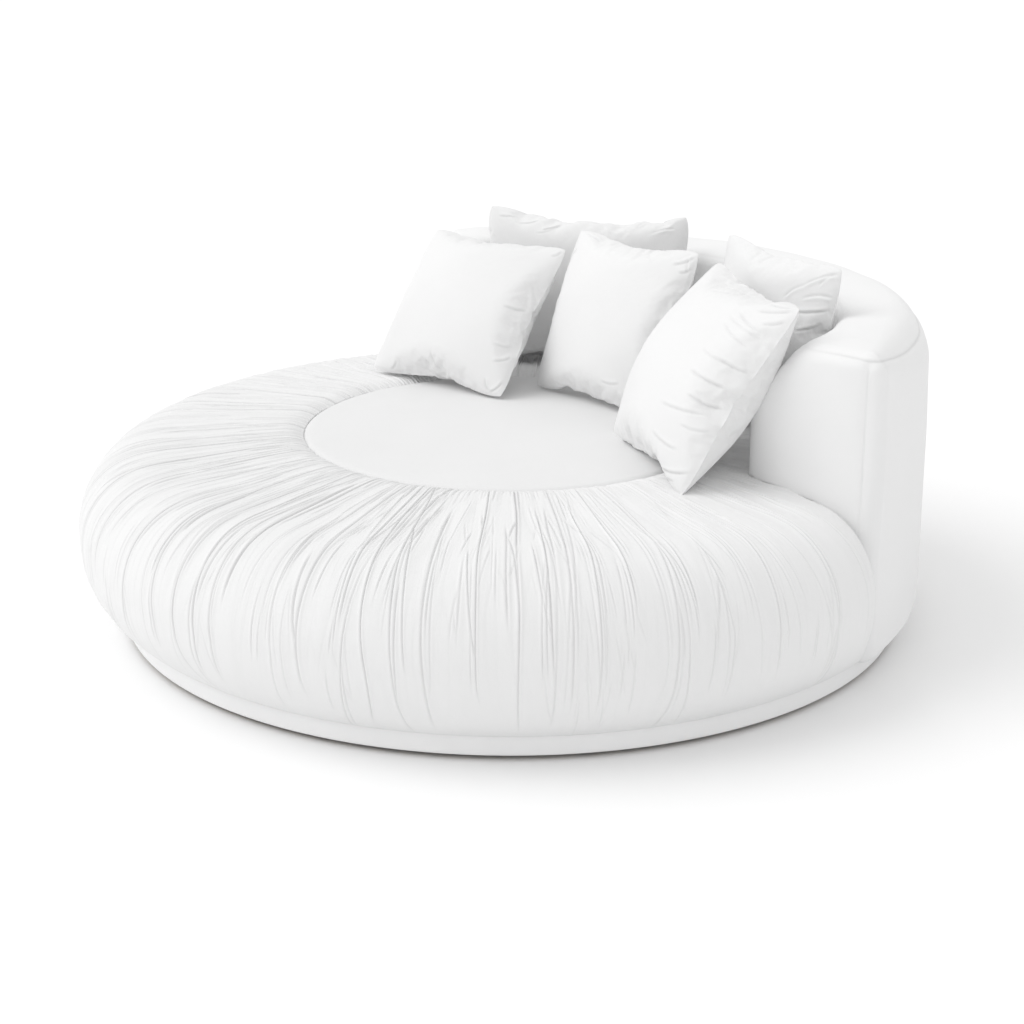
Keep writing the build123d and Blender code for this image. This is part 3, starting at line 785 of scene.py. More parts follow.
class DAYBED_OT_gathered_ring(bpy.types.Operator):
    """Makes the ring of cloth that is gathered into the round seam and pulled down over the bulging seat"""
    bl_idname = "daybed.gathered_ring"
    bl_label = "Gathered ring"

    HEM = 12 * MM             # the gathers die out over this length above the foot
    SEAM_ROLL = 12 * MM       # width of the roll down to the round seam
    DEEPEST_SHADE_DEPTH = 5 * MM       # depth of a valley that gets the darkest painted shade
    CLOTH_FULLNESS = 1.6      # length of the cloth to that of the seam it is gathered into
    CUTTER_REACH = 1.35       # how far the cutter of the backrest's room reaches, to the belly's radius

    def execute(self, context):
        settings = context.scene.daybed
        seat = settings.seat
        shown, stations = seat_profile(seat.row_step)
        hidden = [(DECK_SIDE, FOOT[1]), (DECK_SIDE, DECK_TOP), (SEAM_RADIUS, DECK_TOP)]
        profile = np.vstack((shown, hidden))
        mesh = spun("gathered_ring", profile, seat.columns // SPIN_CUTS, SPIN_CUTS - 1, True)
        gathers = Gathers(seat.columns, stations, shown[:, 0], seat.seed)
        gathers.add(seat.folds, seat.depth)
        gathers.swells(0.9 * MM)
        self.displace(mesh, gathers, self.relief(gathers, seat.seam_drop), shown)
        self.cut(mesh, settings)
        return {"FINISHED"}

    def relief(self, gathers, seam_drop):
        """The gathers, shallower down the bulge, with the fall into the seam and the fullness beside it."""
        stations, length = gathers.stations, gathers.length
        envelope = 1 - 0.62 * eased((stations / length - 0.30) / 0.6)
        envelope *= 1 - eased((stations - length + self.HEM) / self.HEM)
        fall = seam_drop * np.exp(-(stations / self.SEAM_ROLL) ** 1.4)
        fullness = FULL_BULGE * eased(stations / (5 * CM)) * (1 - eased((stations - 6 * CM) / (30 * CM)))
        return gathers.surface() * envelope[:, None] - fall[:, None] + fullness[:, None]

    def displace(self, mesh, gathers, height, shown):
        """Moves the shown rows out by the height, and stores the painted shade of the creases and where the
        gathers are.
        """
        points = points_of(mesh)
        rows = np.round(values_of(mesh, "row")).astype(int)
        angle = np.arctan2(points[:, 1], points[:, 0])
        cells = np.round(angle / tau * gathers.columns).astype(int) % gathers.columns
        on_show = rows < len(shown)
        here = rows[on_show], cells[on_show]
        near_wall = np.exp(-np.maximum(wall_distance(points[on_show]), 0) / WALL_GROOVE)
        rise = height[here] * (1 - 0.6 * near_wall) - WALL_GROOVE * near_wall ** 2
        level, upward = profile_normals(shown)[here[0]].T
        points[on_show, 0] += rise * level * np.cos(angle[on_show])
        points[on_show, 1] += rise * level * np.sin(angle[on_show])
        points[on_show, 2] += rise * upward
        self.tuck_ends(points)
        set_points(mesh, points)
        # Painted shade in the folds' valleys, darkest where a valley is deepest.
        crease = np.zeros(len(points))
        crease[on_show] = gathers.valley[here]
        set_values(mesh, "crease", np.clip(crease / self.DEEPEST_SHADE_DEPTH, 0, 1))
        above_foot = gathers.length - np.interp(rows, np.arange(len(shown)), gathers.stations)
        gathered = (0.25 + 0.75 * gathers.fullness(angle)) * (0.25 + eased(above_foot / (50 * CM)))
        set_values(mesh, "gathered", gathered)
        line = np.concatenate((gathers.stations, gathers.length + np.array([2, 4, 50]) * CM))
        set_pattern(mesh, (angle % tau) * SEAM_RADIUS * self.CLOTH_FULLNESS, line[rows])

    def tuck_ends(self, points):
        """Rounds the bulge in where it meets the two ends of the backrest."""
        radius = np.hypot(points[:, 0], points[:, 1])
        near = np.clip(1 + behind_end(points) / END_TUCK_LENGTH, 0, 1)
        share = 1 - np.sqrt(1 - near ** 2)
        beyond = np.maximum(radius - BACK_INNER_RADIUS, 0)
        drawn = share * END_TUCK_SHARE * beyond * eased((points[:, 2] - FOOT[1]) / TUCK_RISE)
        move_out(points, -drawn)
        points[:, 2] -= END_TUCK_DROP * share * eased(beyond / (10 * CM)) * (points[:, 2] > WAIST[1])

    def cut(self, mesh, settings):
        """Takes out the room of the backrest."""
        piece = linked("gathered_ring", mesh)
        steps = {"inner": 120, "inner_corner": 16, "end": 8, "outer_corner": 4, "outer": 120}
        outline = back_outline(0, steps)
        radius = np.hypot(outline[:, 0], outline[:, 1])
        far = radius > BACK_INNER_RADIUS + 2 * BACK_INNER_CORNER
        outline[far] *= (self.CUTTER_REACH * BELLY_RADIUS / radius[far])[:, None]
        bm = bmesh.new()
        face = bm.faces.new([bm.verts.new((x, y, 0)) for x, y in outline])
        grown = bmesh.ops.extrude_face_region(bm, geom=[face])
        raised = [v for v in grown["geom"] if isinstance(v, bmesh.types.BMVert)]
        bmesh.ops.translate(bm, verts=raised, vec=(0, 0, 1))
        bmesh.ops.recalc_face_normals(bm, faces=bm.faces)
        cutter = linked("backrest_room", mesh_of("backrest_room", bm))
        boolean = piece.modifiers.new("Backrest room", "BOOLEAN")
        boolean.object = cutter
        boolean.operation = "DIFFERENCE"
        boolean.solver = "MANIFOLD"
        evaluated(piece)
        bpy.data.objects.remove(cutter)
        material = cloth_finish("gathered_cloth", settings.cloth.ring, settings.cloth, True)
        dressed(piece, "bed", material, ("seat_gathered_ring", "seat_bolster_foam"))


class DAYBED_OT_centre_panel(bpy.types.Operator):
    """Makes the smooth round panel in the middle of the seat, with the foam under it"""
    bl_idname = "daybed.centre_panel"
    bl_label = "Centre panel"

    SEAM_ROLL = 8 * MM        # how far the edge rolls down into the seam
    ROLL_WIDTH = 7 * MM
    RIPPLE = 0.8 * MM
    SIDE_ROW = 0.4            # height of the row of vertices half way down the hidden side

    def execute(self, context):
        settings = context.scene.daybed
        edge = SEAM_RADIUS - AIR
        middle, rim = PANEL_HIGH.z, SEAM[1] - 1 * MM
        by_seam = edge - np.array([22, 16, 11, 7, 4, 2, 0]) * MM
        radii = np.concatenate((np.linspace(0, edge - 30 * MM, 50), by_seam))
        heights = rim + (middle - rim) * (1 - (radii / edge) ** 2)
        heights -= self.SEAM_ROLL * np.exp(-((edge - radii) / self.ROLL_WIDTH) ** 1.3)
        hidden = [(edge, self.SIDE_ROW), (edge, DECK_TOP), (0, DECK_TOP)]
        mesh = spun("centre_panel", np.vstack((np.column_stack((radii, heights)), hidden)), 120, 5, False)
        points = points_of(mesh)
        x, y, z = points.T
        soft = np.sin(7.1 * x + 1.3) * np.sin(6.3 * y + 0.4)
        soft += 0.6 * np.sin(15 * x - 9 * y) + 0.4 * np.sin(23 * y + 5 * x)
        top = z > heights.min() - SMALL
        points[top, 2] += (self.RIPPLE * soft * (1 - (np.hypot(x, y) / edge) ** 4))[top]
        set_points(mesh, points)
        set_pattern(mesh, x, y + points[:, 2])
        piece = linked("centre_panel", mesh)
        material = cloth_finish("panel_cloth", settings.cloth.panel, settings.cloth)
        nodes = ("seat_centre_panel", "seat_comfort_layer", "seat_core_foam")
        dressed(piece, "bed", material, nodes)
        return {"FINISHED"}


class DAYBED_OT_plinth_band(bpy.types.Operator):
    """Makes the padded band of cloth round the plinth"""
    bl_idname = "daybed.plinth_band"
    bl_label = "Plinth band"

    THICKNESS = 8 * MM
    EDGE = 4 * MM             # how far the edges round back
    BULGE = 1.2 * MM
    RIPPLE = 0.25 * MM
    TOP_GAP = 1 * MM

    def execute(self, context):
        settings = context.scene.daybed
        low, high = BAND_LOW.z, BAND_HIGH.z - self.TOP_GAP
        outer, inner = BAND_HIGH.x, BAND_HIGH.x - self.THICKNESS
        turn = np.linspace(-pi / 2, pi / 2, 25)
        rise = np.sign(np.sin(turn)) * np.abs(np.sin(turn)) ** 0.55
        radii = outer - self.EDGE + self.EDGE * np.cos(turn) ** 0.35 + self.BULGE * np.cos(turn) ** 2
        front = np.column_stack((radii, low + (high - low) / 2 * (1 + rise)))
        mesh = spun("plinth_band", np.vstack((front, [(inner, high), (inner, low)])), 120, 8, True)
        points = points_of(mesh)
        angle = np.arctan2(points[:, 1], points[:, 0])
        soft = np.sin(31 * angle) + np.sin(53 * angle + 2) + 0.7 * np.sin(97 * angle + 1)
        points[:, :2] *= (1 + self.RIPPLE * soft * (points[:, 2] > low + self.EDGE))[:, None]
        set_points(mesh, points)
        set_pattern(mesh, (angle % tau) * outer, points[:, 2])
        piece = linked("plinth_band", mesh)
        material = cloth_finish("band_cloth", settings.cloth.band, settings.cloth)
        dressed(piece, "bed", material, ("plinth_cover", "plinth_padding"))
        return {"FINISHED"}


class DAYBED_OT_backrest(bpy.types.Operator):
    """Makes the upholstery of the arc backrest, with its seams"""
    bl_idname = "daybed.backrest"
    bl_label = "Backrest"

    STEPS = {"inner": 240, "inner_corner": 24, "end": 24, "outer_corner": 30, "outer": 300}
    MIDDLE = (BACK_INNER_RADIUS + BACK_RADIUS) / 2
    HALF = (BACK_RADIUS - BACK_INNER_RADIUS) / 2
    OUTER_HALF = 0.93         # radius from which the shapes of the outer half are counted
    GIRTH = 5.0               # length of cloth round the plan
    UPRIGHT_SEAM = 0.15       # where the upright seams lie round the outer corners, from the end to the arc
    SWELL_HOLD = 1.75         # how long the swell of the foot stays full before it dies out upwards

    def levels(self):
        """Inset and height of each closed row, from the middle of the underside to the middle of the top."""
        low, wall_top = BACK_LOW.z, BACK_TOP - BACK_TOP_EDGE
        rows = [(self.HALF, low), (6 * CM, low), (BACK_BOTTOM_EDGE, low)]
        for turn in np.linspace(pi / 2, 0, 9)[1:]:
            rows.append((BACK_BOTTOM_EDGE * (1 - cos(turn)), low + BACK_BOTTOM_EDGE * (1 - sin(turn))))
        for height in np.linspace(low + BACK_BOTTOM_EDGE, wall_top, 66)[1:]:
            rows.append((0, height))
        for turn in np.linspace(0, pi / 2, 26)[1:]:
            rows.append((BACK_TOP_EDGE * (1 - cos(turn)), wall_top + BACK_TOP_EDGE * sin(turn)))
        for inset in np.linspace(BACK_TOP_EDGE, self.HALF, 13)[1:]:
            rows.append((inset, BACK_TOP))
        return rows

    def execute(self, context):
        settings = context.scene.daybed
        bm = bmesh.new()
        place = bm.verts.layers.float.new("place")
        loop_edges = None
        for inset, height in self.levels():
            outline = back_outline(inset, self.STEPS)
            if loop_edges is None:
                ring = [bm.verts.new((x, y, height)) for x, y in outline]
                loop_edges = [bm.edges.new(pair) for pair in zip(ring, ring[1:] + ring[:1])]
                for n, vert in enumerate(ring):
                    vert[place] = n
            else:
                grown = bmesh.ops.extrude_edge_only(bm, edges=loop_edges)
                ring = [v for v in grown["geom"] if isinstance(v, bmesh.types.BMVert)]
                members = set(ring)
                loop_edges = [e for e in grown["geom"] if isinstance(e, bmesh.types.BMEdge)]
                loop_edges = [e for e in loop_edges if members.issuperset(e.verts)]
                for vert in ring:
                    vert.co = (*outline[round(vert[place])], height)
        bmesh.ops.remove_doubles(bm, verts=bm.verts, dist=0.2 * MM)
        bmesh.ops.recalc_face_normals(bm, faces=bm.faces)
        mesh = mesh_of("backrest_upholstery", bm)
        self.sew(mesh)
        piece = linked("backrest_upholstery", mesh)
        material = cloth_finish("backrest_cloth", settings.cloth.backrest, settings.cloth)
        covers = ("inner", "outer", "top", "left_end", "right_end")
        foams = ("top_foam", "inner_foam", "outer_foam", "end_foams")
        nodes = [f"backrest_{name}_cover" for name in covers] + [f"backrest_{name}" for name in foams]
        dressed(piece, "bed", material, nodes)
        return {"FINISHED"}

    def sew(self, mesh):
        """Shapes the upholstery, then raises its soft faces, sinks its seams as narrow valleys and paints
        shade into them.
        """
        points = points_of(mesh)
        self.round_outer_edge(points)
        self.draw_in_top(points)
        self.swell_ends(points)
        set_points(mesh, points)
        x, y, z = points.T.copy()
        radius, within = np.hypot(x, y), behind_end(points)
        slip = SEAM_SLIP * self.edge_share(points) * eased((radius - self.OUTER_HALF) / (10 * CM))
        from_seam = z - BACK_TOP + TOP_SEAM_DROP + slip
        corner = self.corner_distance(x, y)
        below = eased((6 * MM - from_seam) / (12 * MM))
        high = eased((z - 25 * CM) / (45 * CM))
        outer_side = 0.3 + 0.7 * eased((radius - 0.86) / (10 * CM))

        seam = outer_side * np.exp(-(from_seam / (2.2 * MM)) ** 2)
        seam_hollow = outer_side * np.exp(-(from_seam / (11 * MM)) ** 2)
        upright = below * np.exp(-(corner / (2.6 * MM)) ** 2)
        upright_hollow = below * np.exp(-(corner / (24 * MM)) ** 2)
        dimple = np.exp(-(corner / (13 * MM)) ** 2 - ((from_seam + 12 * MM) / (15 * MM)) ** 2)
        crown = (1 - np.clip((radius - self.MIDDLE) / self.HALF, -1, 1) ** 2) ** 2
        crown *= eased(within / (10 * CM)) * eased((z - BACK_TOP + BACK_TOP_EDGE) / BACK_TOP_EDGE)
        puff = np.exp(-((radius - self.OUTER_HALF) / (6 * CM)) ** 2) * eased(1 - within / (30 * MM)) * below
        rise = TOP_CROWN * crown + END_PUFF * puff + BACK_RIPPLE * self.ripple(np.arctan2(y, x), z)
        rise -= MM * (1.6 * seam + 1.8 * seam_hollow + 3.5 * dimple)
        rise -= MM * ((0.6 + 1.4 * high) * upright + (2.0 + 3.5 * high) * upright_hollow)

        points += rise[:, None] * normals_of(mesh)
        over_deck = np.hypot(points[:, 0], points[:, 1]) < DECK_SIDE + AIR
        points[over_deck, 2] = np.maximum(points[over_deck, 2], DECK_TOP)
        set_points(mesh, points)
        # Painted shade in the seam valleys, stronger on the upright seams towards the top.
        set_values(mesh, "crease", np.clip(0.8 * seam + 0.7 * upright * high, 0, 1))
        place = values_of(mesh, "place")
        set_pattern(mesh, place * (self.GIRTH / place.max()), z)

    def ripple(self, angle, height):
        """Soft unevenness: three waves that run round the backrest and slant over its height."""
        waves = ((1.0, 9, 5, 0), (0.7, 17, -7, 1), (0.5, 29, 11, 2))
        return sum(
            size * np.sin(turns * angle + slant * height + start) for size, turns, slant, start in waves)

    def edge_share(self, points):
        """How much of the outer top edge's fuller round there is, from the ends backwards."""
        return eased((behind_end(points) + 5 * CM) / (35 * CM))

    def round_outer_edge(self, points):
        """Gives the outer top edge its fuller round, which grows from the ends backwards."""
        reach = BACK_TOP_EDGE + (BACK_FULL_EDGE - BACK_TOP_EDGE) * self.edge_share(points)
        inward = np.maximum(np.hypot(points[:, 0], points[:, 1]) - BACK_RADIUS + reach, 0)
        upward = np.maximum(points[:, 2] - BACK_TOP + reach, 0)
        over = 1 - reach / np.maximum(np.hypot(inward, upward), reach)
        move_out(points, -over * inward)
        points[:, 2] -= over * upward

    def swell_ends(self, points):
        """Swells the foot of the inner face over the seat where it comes round to each end."""
        radius = np.hypot(points[:, 0], points[:, 1])
        height = points[:, 2] - SEAM[1]
        share = eased(self.SWELL_HOLD * (1 - height / END_SWELL_HEIGHT))
        share *= eased((height + 18 * MM) / (12 * MM))
        share *= 1 - eased((behind_end(points) - 1 * CM) / (10 * CM))
        share *= 1 - eased((radius - BACK_INNER_RADIUS) / (22 * CM))
        move_out(points, -END_SWELL * share)

    def draw_in_top(self, points):
        """Draws the outer face in a little towards its top."""
        radius = np.hypot(points[:, 0], points[:, 1])
        share = eased((points[:, 2] - SEAM[1]) / (30 * CM)) * eased((radius - self.OUTER_HALF) / (12 * CM))
        move_out(points, -TOP_DRAW * share)

    def corner_distance(self, x, y):
        """Level distance from the nearer upright seam, where an end starts to round outwards."""
        nearest = np.full(len(x), np.inf)
        for side in (1, -1):
            corners = corner_centres(BACK_INNER_RADIUS, BACK_RADIUS, 0, *end_plane(side))
            centre, on_end, on_arc, fillet = corners[1]
            way = on_end + self.UPRIGHT_SEAM * (on_arc - on_end) - centre
            place = centre + fillet * way / np.linalg.norm(way)
            nearest = np.minimum(nearest, np.hypot(x - place[0], y - place[1]))
        return nearest


# Creases on the pillows' faces: start and end across and up as shares of the half width and height, and
# depth, which also sets how dark their painted shade is
CREASES = {
    "pillow_left": (
        (0.00, -0.64, 0.11, -0.90, 4), (-0.08, -0.74, 0.00, -0.93, 3), (-0.66, -0.95, -0.55, -0.82, 3),
        (0.66, 0.02, 0.92, 0.10, 4), (0.70, -0.41, 0.90, -0.38, 3), (0.76, -0.60, 0.94, -0.50, 4),
        (0.74, -0.80, 0.82, -0.94, 4), (0.84, -0.95, 0.94, -0.80, 4), (0.86, 0.80, 0.95, 0.94, 3),
    ),
    "pillow_back_left": (
        (-0.85, 0.83, -0.68, 0.86, 3), (-0.63, 0.76, -0.45, 0.84, 4), (-0.38, 0.66, -0.22, 0.82, 4),
        (-0.42, 0.62, -0.26, 0.72, 2), (0.55, 0.94, 0.50, 0.78, 2), (0.85, 0.80, 0.62, 0.70, 3),
    ),
    "pillow_middle": (
        (0.28, -0.66, 0.52, -0.64, 3), (-0.94, 0.48, -0.78, 0.72, 5), (0.72, 0.74, 0.95, 0.92, 4),
        (0.82, 0.68, 0.96, 0.80, 3), (-0.82, 0.94, -0.52, 0.90, 3), (0.88, 0.92, 0.93, 0.72, 3),
    ),
    "pillow_right": (
        (0.48, 0.01, 0.88, 0.05, 5), (0.60, -0.17, 0.95, -0.13, 5), (0.32, -0.35, 0.86, -0.24, 4),
        (0.68, 0.22, 0.96, 0.28, 4), (0.50, 0.62, 0.82, 0.60, 4), (0.44, 0.55, 0.86, 0.55, 3),
        (0.44, 0.48, 0.82, 0.43, 3), (0.46, 0.20, 0.80, 0.24, 3), (0.38, -0.59, 0.74, -0.62, 4),
        (0.66, -0.42, 0.95, -0.36, 3), (0.52, -0.86, 0.95, -0.76, 5), (0.40, -0.94, 0.85, -0.88, 4),
        (0.64, 0.72, 0.95, 0.93, 5), (0.66, 0.84, 0.92, 0.95, 4), (0.78, 0.66, 0.95, 0.82, 4),
        (-0.12, 0.66, 0.22, 0.80, 2), (-0.22, 0.73, 0.22, 0.89, 2),
    ),
    "pillow_back_right": (
        (0.95, 0.92, 0.55, 0.67, 4), (0.58, 0.69, 0.36, 0.50, 3), (0.95, 0.68, 0.60, 0.56, 4),
        (0.52, 0.40, 0.95, 0.56, 4), (0.92, 0.90, 0.74, 0.72, 3), (0.60, 0.24, 0.90, 0.40, 3),
        (0.44, 0.44, 0.62, 0.30, 2),
    ),
}


class DAYBED_OT_pillows(bpy.types.Operator):
    """Makes the five loose pillows: two sheets sewn at the rim, filled by a cloth simulation"""
    bl_idname = "daybed.pillows"
    bl_label = "Pillows"

    CELLS = 84              # squares of each sheet's mesh, across and up
    FRAMES = 18             # length of the simulation
    FLANGE = 5 * MM         # width of the flat sewn edge
    FLANGE_THICKNESS = 2.8 * MM
    CLOTH_NOISE = 0.6 * MM  # unevenness from which the simulation's wrinkles grow
    START_CROWN = 0.34      # how full the sheets are before the simulation, as a share
    FULL_SIDES = 0.045      # how far the cut of the cloth swells between the corners, as a share
    BLUNT_CORNERS = 0.03
    DOME = 0.22             # how much less full the corners are made than the simulation leaves them
    CUT_WIDTH = 2.6 * MM    # a crease's valley
    RIDGE_SHIFT = 6 * MM    # from the valley to the ridge beside it
    RIDGE_WIDTH = 4.5 * MM
    CREASE_SWAY = 5 * MM
    FACE_SHIFT = 10         # keeps the two faces' patterns apart

    def execute(self, context):
        settings = context.scene.daybed
        material = cloth_finish("pillow_cloth", settings.cloth.pillows, settings.cloth)
        for number, (name, pillow) in enumerate(PILLOWS.items()):
            piece = self.sheets(name, pillow, number)
            self.fill(context.scene, piece)
            self.fit(piece.data, pillow)
            self.crease(piece, name, pillow)
            self.put(piece.data, name, pillow)
            dressed(piece, name, material, (f"{name}_cover", f"{name}_insert"))
        return {"FINISHED"}

    def sheets(self, name, pillow, number):
        """Two sheets joined at the rim, a little crowned, each vertex with its place in the cloth."""
        width, height, thickness = pillow.width, pillow.height, pillow.thickness
        bm = bmesh.new()
        layers = [bm.verts.layers.float.new(label) for label in ("across", "up", "side")]
        bmesh.ops.create_grid(bm, x_segments=self.CELLS, y_segments=self.CELLS, size=1)
        for vert in bm.verts:
            vert[layers[0]], vert[layers[1]], vert[layers[2]] = vert.co.x, vert.co.y, 1
        back = bmesh.ops.duplicate(bm, geom=bm.verts[:] + bm.edges[:] + bm.faces[:])["geom"]
        for vert in back:
            if isinstance(vert, bmesh.types.BMVert):
                vert[layers[2]] = -1
        bmesh.ops.reverse_faces(bm, faces=[face for face in back if isinstance(face, bmesh.types.BMFace)])
        last = 1 - 2 / self.CELLS
        rough = np.random.RandomState(31 + number)
        crown = self.START_CROWN
        flange_u, flange_v = (1 - 2 * self.FLANGE / size for size in (width, height))
        for vert in bm.verts:
            u, v, side = (vert[layer] for layer in layers)
            x = np.sign(u) * flange_u if abs(abs(u) - last) < SMALL else u
            y = np.sign(v) * flange_v if abs(abs(v) - last) < SMALL else v
            bulge = max((1 - u ** 2) * (1 - v ** 2), 0) ** 0.42
            rim = abs(u) > 1 - SMALL or abs(v) > 1 - SMALL
            lift = 0 if rim else side * (thickness / 2 * crown * bulge + rough.uniform(0, self.CLOTH_NOISE))
            blunt = 1 - self.BLUNT_CORNERS * (u * v) ** 8
            x *= blunt * (1 + self.FULL_SIDES * (1 - v ** 2))
            y *= blunt * (1 + self.FULL_SIDES * (1 - u ** 2))
            vert.co = (x * width / 2, y * height / 2, lift)
        bmesh.ops.remove_doubles(bm, verts=bm.verts, dist=SMALL)
        return linked(name, mesh_of(name, bm))

    def fill(self, scene, piece):
        """Blows the sewn sheets up as cloth."""
        cloth = piece.modifiers.new("Filling", "CLOTH")
        values = {
            "quality": 4, "mass": 0.25, "use_pressure": True, "uniform_pressure_force": 5,
            "tension_stiffness": 20, "compression_stiffness": 20, "shear_stiffness": 8,
            "bending_stiffness": 0.12, "tension_damping": 8, "compression_damping": 8,
        }
        for name, value in values.items():
            setattr(cloth.settings, name, value)
        cloth.settings.effector_weights.gravity = 0
        cloth.collision_settings.use_collision = False
        cloth.point_cache.frame_start = 1
        cloth.point_cache.frame_end = self.FRAMES
        for number in range(1, self.FRAMES + 1):
            scene.frame_set(number)
        evaluated(piece)
        scene.frame_set(1)

    def fit(self, mesh, pillow):
        """Brings the filled pillow to its size and presses its rim into a flat sewn edge."""
        points = points_of(mesh)
        across, up, side = (values_of(mesh, label) for label in ("across", "up", "side"))
        cells = self.CELLS
        column = np.round((across + 1) / 2 * cells).astype(int)
        row = np.round((up + 1) / 2 * cells).astype(int)
        front = np.zeros((cells + 1, cells + 1), int)
        back = np.zeros_like(front)
        count = np.arange(len(points))
        rim = (column % cells == 0) | (row % cells == 0)
        facing = side > 0
        front[column[facing], row[facing]] = count[facing]
        back[column[~facing], row[~facing]] = count[~facing]
        front[column[rim], row[rim]] = count[rim]
        back[column[rim], row[rim]] = count[rim]
        points[:, 0] *= pillow.width / 2 / np.abs(points[:, 0]).max()
        points[:, 1] *= pillow.height / 2 / np.abs(points[:, 1]).max()
        half = (points[front] - points[back]) / 2
        middle = (points[front] + points[back]) / 2
        shoulder = 1 - np.linspace(-1, 1, cells + 1) ** 2
        half *= (1 - self.DOME + self.DOME * shoulder[:, None] * shoulder)[..., None]
        half *= pillow.thickness / 2 / half[..., 2].max()
        pinched = np.zeros(half.shape[:2], bool)
        pinched[1, 1:-1] = pinched[-2, 1:-1] = pinched[1:-1, 1] = pinched[1:-1, -2] = True
        size = np.linalg.norm(half, axis=2)
        half[pinched] *= (self.FLANGE_THICKNESS / 2 / np.maximum(size[pinched], SMALL))[:, None]
        middle[..., 2] -= middle[..., 2].mean()
        points[front] = middle + half
        points[back] = middle - half
        set_points(mesh, points)

    def crease(self, piece, name, pillow):
        """One subdivision, then the creases of this pillow's face and painted shade in their valleys."""
        half = np.array((pillow.width, pillow.height)) / 2
        finer = piece.modifiers.new("Finer", "SUBSURF")
        finer.levels = finer.render_levels = 1
        mesh = evaluated(piece)
        points = points_of(mesh)
        across, up, side = (values_of(mesh, label) for label in ("across", "up", "side"))
        place = np.column_stack((across, up)) * half
        rise = np.zeros(len(points))
        dark = np.zeros(len(points))
        for start_u, start_v, end_u, end_v, depth in CREASES[name]:
            start, end = np.array((start_u, start_v)) * half, np.array((end_u, end_v)) * half
            length = np.linalg.norm(end - start)
            way = (end - start) / length
            along = (place - start) @ way / length
            beside = (place - start) @ np.array((-way[1], way[0])) + self.CREASE_SWAY * np.sin(3 * along)
            shares = eased(along / 0.25 + 0.2) * eased((1 - along) / 0.3 + 0.2) * (side > 0)
            cut = np.exp(-(beside / self.CUT_WIDTH) ** 2)
            ridge = np.exp(-((beside - self.RIDGE_SHIFT) / self.RIDGE_WIDTH) ** 2)
            rise += 0.7 * depth * MM * shares * (0.6 * ridge - cut)
            # Painted shade in the crease's valley.
            dark += depth / 8 * shares * cut
        points += rise[:, None] * normals_of(mesh)
        set_points(mesh, points)
        set_values(mesh, "crease", np.clip(dark, 0, 1))
        set_pattern(mesh, place[:, 0] + self.FACE_SHIFT * (side > 0), place[:, 1])

    def put(self, mesh, name, pillow):
        """Leans the pillow in its place on the seat."""
        low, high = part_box(f"{name}_cover")
        place = Matrix.Translation((low + high) / 2) @ Matrix.Rotation(radians(pillow.turn), 4, "Z")
        place = place @ Matrix.Rotation(pi / 2 - radians(pillow.lean), 4, "X")
        place = place @ Matrix.Rotation(radians(pillow.roll), 4, "Z")
        mesh.transform(place @ Matrix.Translation((pillow.along, 0, pillow.out)))


class DAYBED_OT_frame_finishes(bpy.types.Operator):
    """Gives wood, steel, plastic and fleece to the pieces of the frame"""
    bl_idname = "daybed.frame_finishes"
    bl_label = "Frame finishes"

    def execute(self, context):
        finishes = {
            "plywood": timber_finish("plywood_birch", (0.66, 0.49, 0.30), (0.45, 0.29, 0.15), (6, 6, 160)),
            "timber": timber_finish("sawn_pine", (0.70, 0.50, 0.27), (0.46, 0.27, 0.12), (9, 9, 70)),
            "zinc_steel": plain_finish("zinc_plate", (0.62, 0.63, 0.65), (0.45, 0.46, 0.48), 60, 0.3, 1.0),
            "glide_plastic": plain_finish("black_nylon", (0.020, 0.020, 0.021), (0.03, 0.03, 0.03), 90, 0.45),
            "dust_cloth": plain_finish("black_fleece", (0.018, 0.018, 0.02), (0.04, 0.04, 0.04), 300, 0.85),
        }
        for part in frame["record"]["subparts"]:
            finish = finishes.get(part["material_slot"])
            if finish:
                materials = frame["nodes"][part["node"]].data.materials
                materials.clear()
                materials.append(finish)
        return {"FINISHED"}


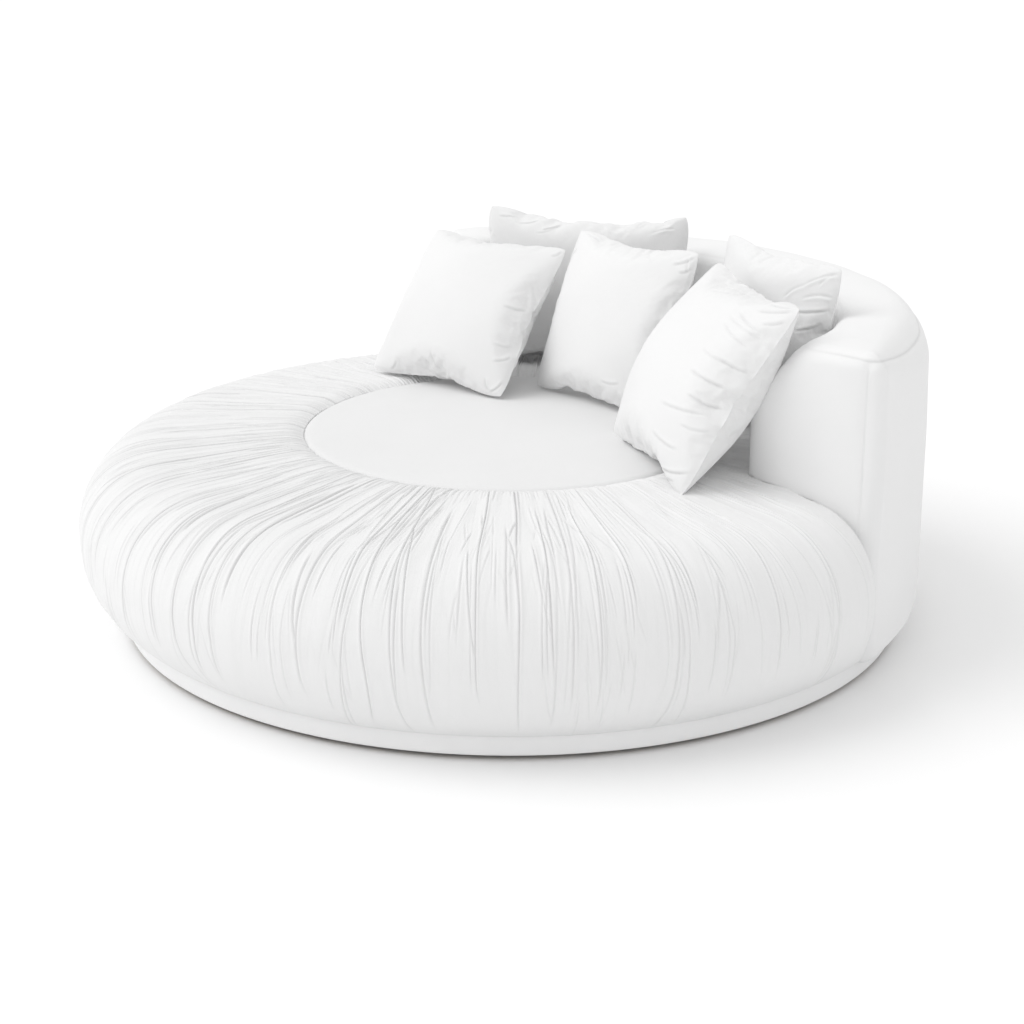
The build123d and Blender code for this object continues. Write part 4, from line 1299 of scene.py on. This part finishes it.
class DAYBED_OT_stage(bpy.types.Operator):
    """Sets the pale floor, the soft light and the camera"""
    bl_idname = "daybed.stage"
    bl_label = "Stage"

    FLOOR_REACH = 60          # from the bed to the floor's edges
    LIGHT_DISTANCE = 5
    SENSOR = 36               # width of the camera's sensor, in millimetres

    def execute(self, context):
        scene = context.scene
        stage = scene.daybed.stage
        scene.view_settings.view_transform = "Standard"
        scene.view_settings.look = "None"
        scene.world = self.surround(stage)
        bm = bmesh.new()
        bmesh.ops.create_grid(bm, x_segments=4, y_segments=4, size=self.FLOOR_REACH)
        floor = linked("floor", mesh_of("floor", bm))
        finish = Finish("pale_floor", Roughness=0.9, Specular_IOR_Level=0.1)
        mottle = finish.noise(finish.place(), 2, 2)
        finish.shade("Base Color", finish.blend(mottle, (0.95, 0.95, 0.95), (0.96, 0.96, 0.96)))
        floor.data.materials.append(finish.material)
        light = bpy.data.lights.new("key", "SUN")
        light.energy = stage.key
        light.angle = stage.key_spread
        key = bpy.data.objects.new("key", light)
        scene.collection.objects.link(key)
        key.location = self.LIGHT_DISTANCE * Vector(stage.key_from)
        key.rotation_euler = (-Vector(stage.key_from)).to_track_quat("-Z", "Y").to_euler()
        lens = bpy.data.cameras.new("camera")
        lens.lens = stage.lens
        lens.sensor_width = self.SENSOR
        camera = bpy.data.objects.new("camera", lens)
        scene.collection.objects.link(camera)
        camera.location = stage.camera_place
        level = Vector((*stage.camera_heading, 0)).normalized()
        aim = level * cos(stage.camera_pitch) - Vector((0, 0, sin(stage.camera_pitch)))
        camera.rotation_euler = aim.to_track_quat("-Z", "Y").to_euler()
        scene.camera = camera
        return {"FINISHED"}

    def surround(self, stage):
        """A white surround, brighter as the backdrop itself than as a light."""
        world = bpy.data.worlds.new("white_surround")
        world.use_nodes = True
        tree = world.node_tree
        background = tree.nodes["Background"]
        background.inputs["Color"].default_value = (1, 1, 1, 1)
        seen = tree.nodes.new("ShaderNodeLightPath")
        strength = tree.nodes.new("ShaderNodeMapRange")
        strength.inputs["To Min"].default_value = stage.sky
        strength.inputs["To Max"].default_value = BACKDROP
        tree.links.new(seen.outputs["Is Camera Ray"], strength.inputs["Value"])
        tree.links.new(strength.outputs["Result"], background.inputs["Strength"])
        return world


class DAYBED_PT_panel(bpy.types.Panel):
    """Lists the day bed's settings and pieces"""
    bl_idname = "DAYBED_PT_panel"
    bl_label = "Day bed"
    bl_space_type = "VIEW_3D"
    bl_region_type = "UI"
    bl_category = "Day bed"

    def draw(self, context):
        settings = context.scene.daybed
        for group in (settings.seat, settings.cloth, settings.stage):
            column = self.layout.column(align=True)
            for name in group.__annotations__:
                column.prop(group, name)
        for operator in OPERATORS:
            self.layout.operator(operator.bl_idname)


OPERATORS = (
    DAYBED_OT_frame_finishes, DAYBED_OT_plinth_band, DAYBED_OT_gathered_ring, DAYBED_OT_centre_panel,
    DAYBED_OT_backrest, DAYBED_OT_pillows, DAYBED_OT_stage,
)
CLASSES = (
    DAYBED_PG_seat, DAYBED_PG_cloth, DAYBED_PG_stage, DAYBED_PG_settings, *OPERATORS, DAYBED_PT_panel,
)


def register():
    for cls in CLASSES:
        bpy.utils.register_class(cls)
    bpy.types.Scene.daybed = PointerProperty(type=DAYBED_PG_settings)


def unregister():
    del bpy.types.Scene.daybed
    for cls in reversed(CLASSES):
        bpy.utils.unregister_class(cls)


def main():
    register()
    bpy.ops.daybed.frame_finishes()
    bpy.ops.daybed.plinth_band()
    bpy.ops.daybed.gathered_ring()
    bpy.ops.daybed.centre_panel()
    bpy.ops.daybed.backrest()
    bpy.ops.daybed.pillows()
    bpy.ops.daybed.stage()


if __name__ == "__main__":
    main()
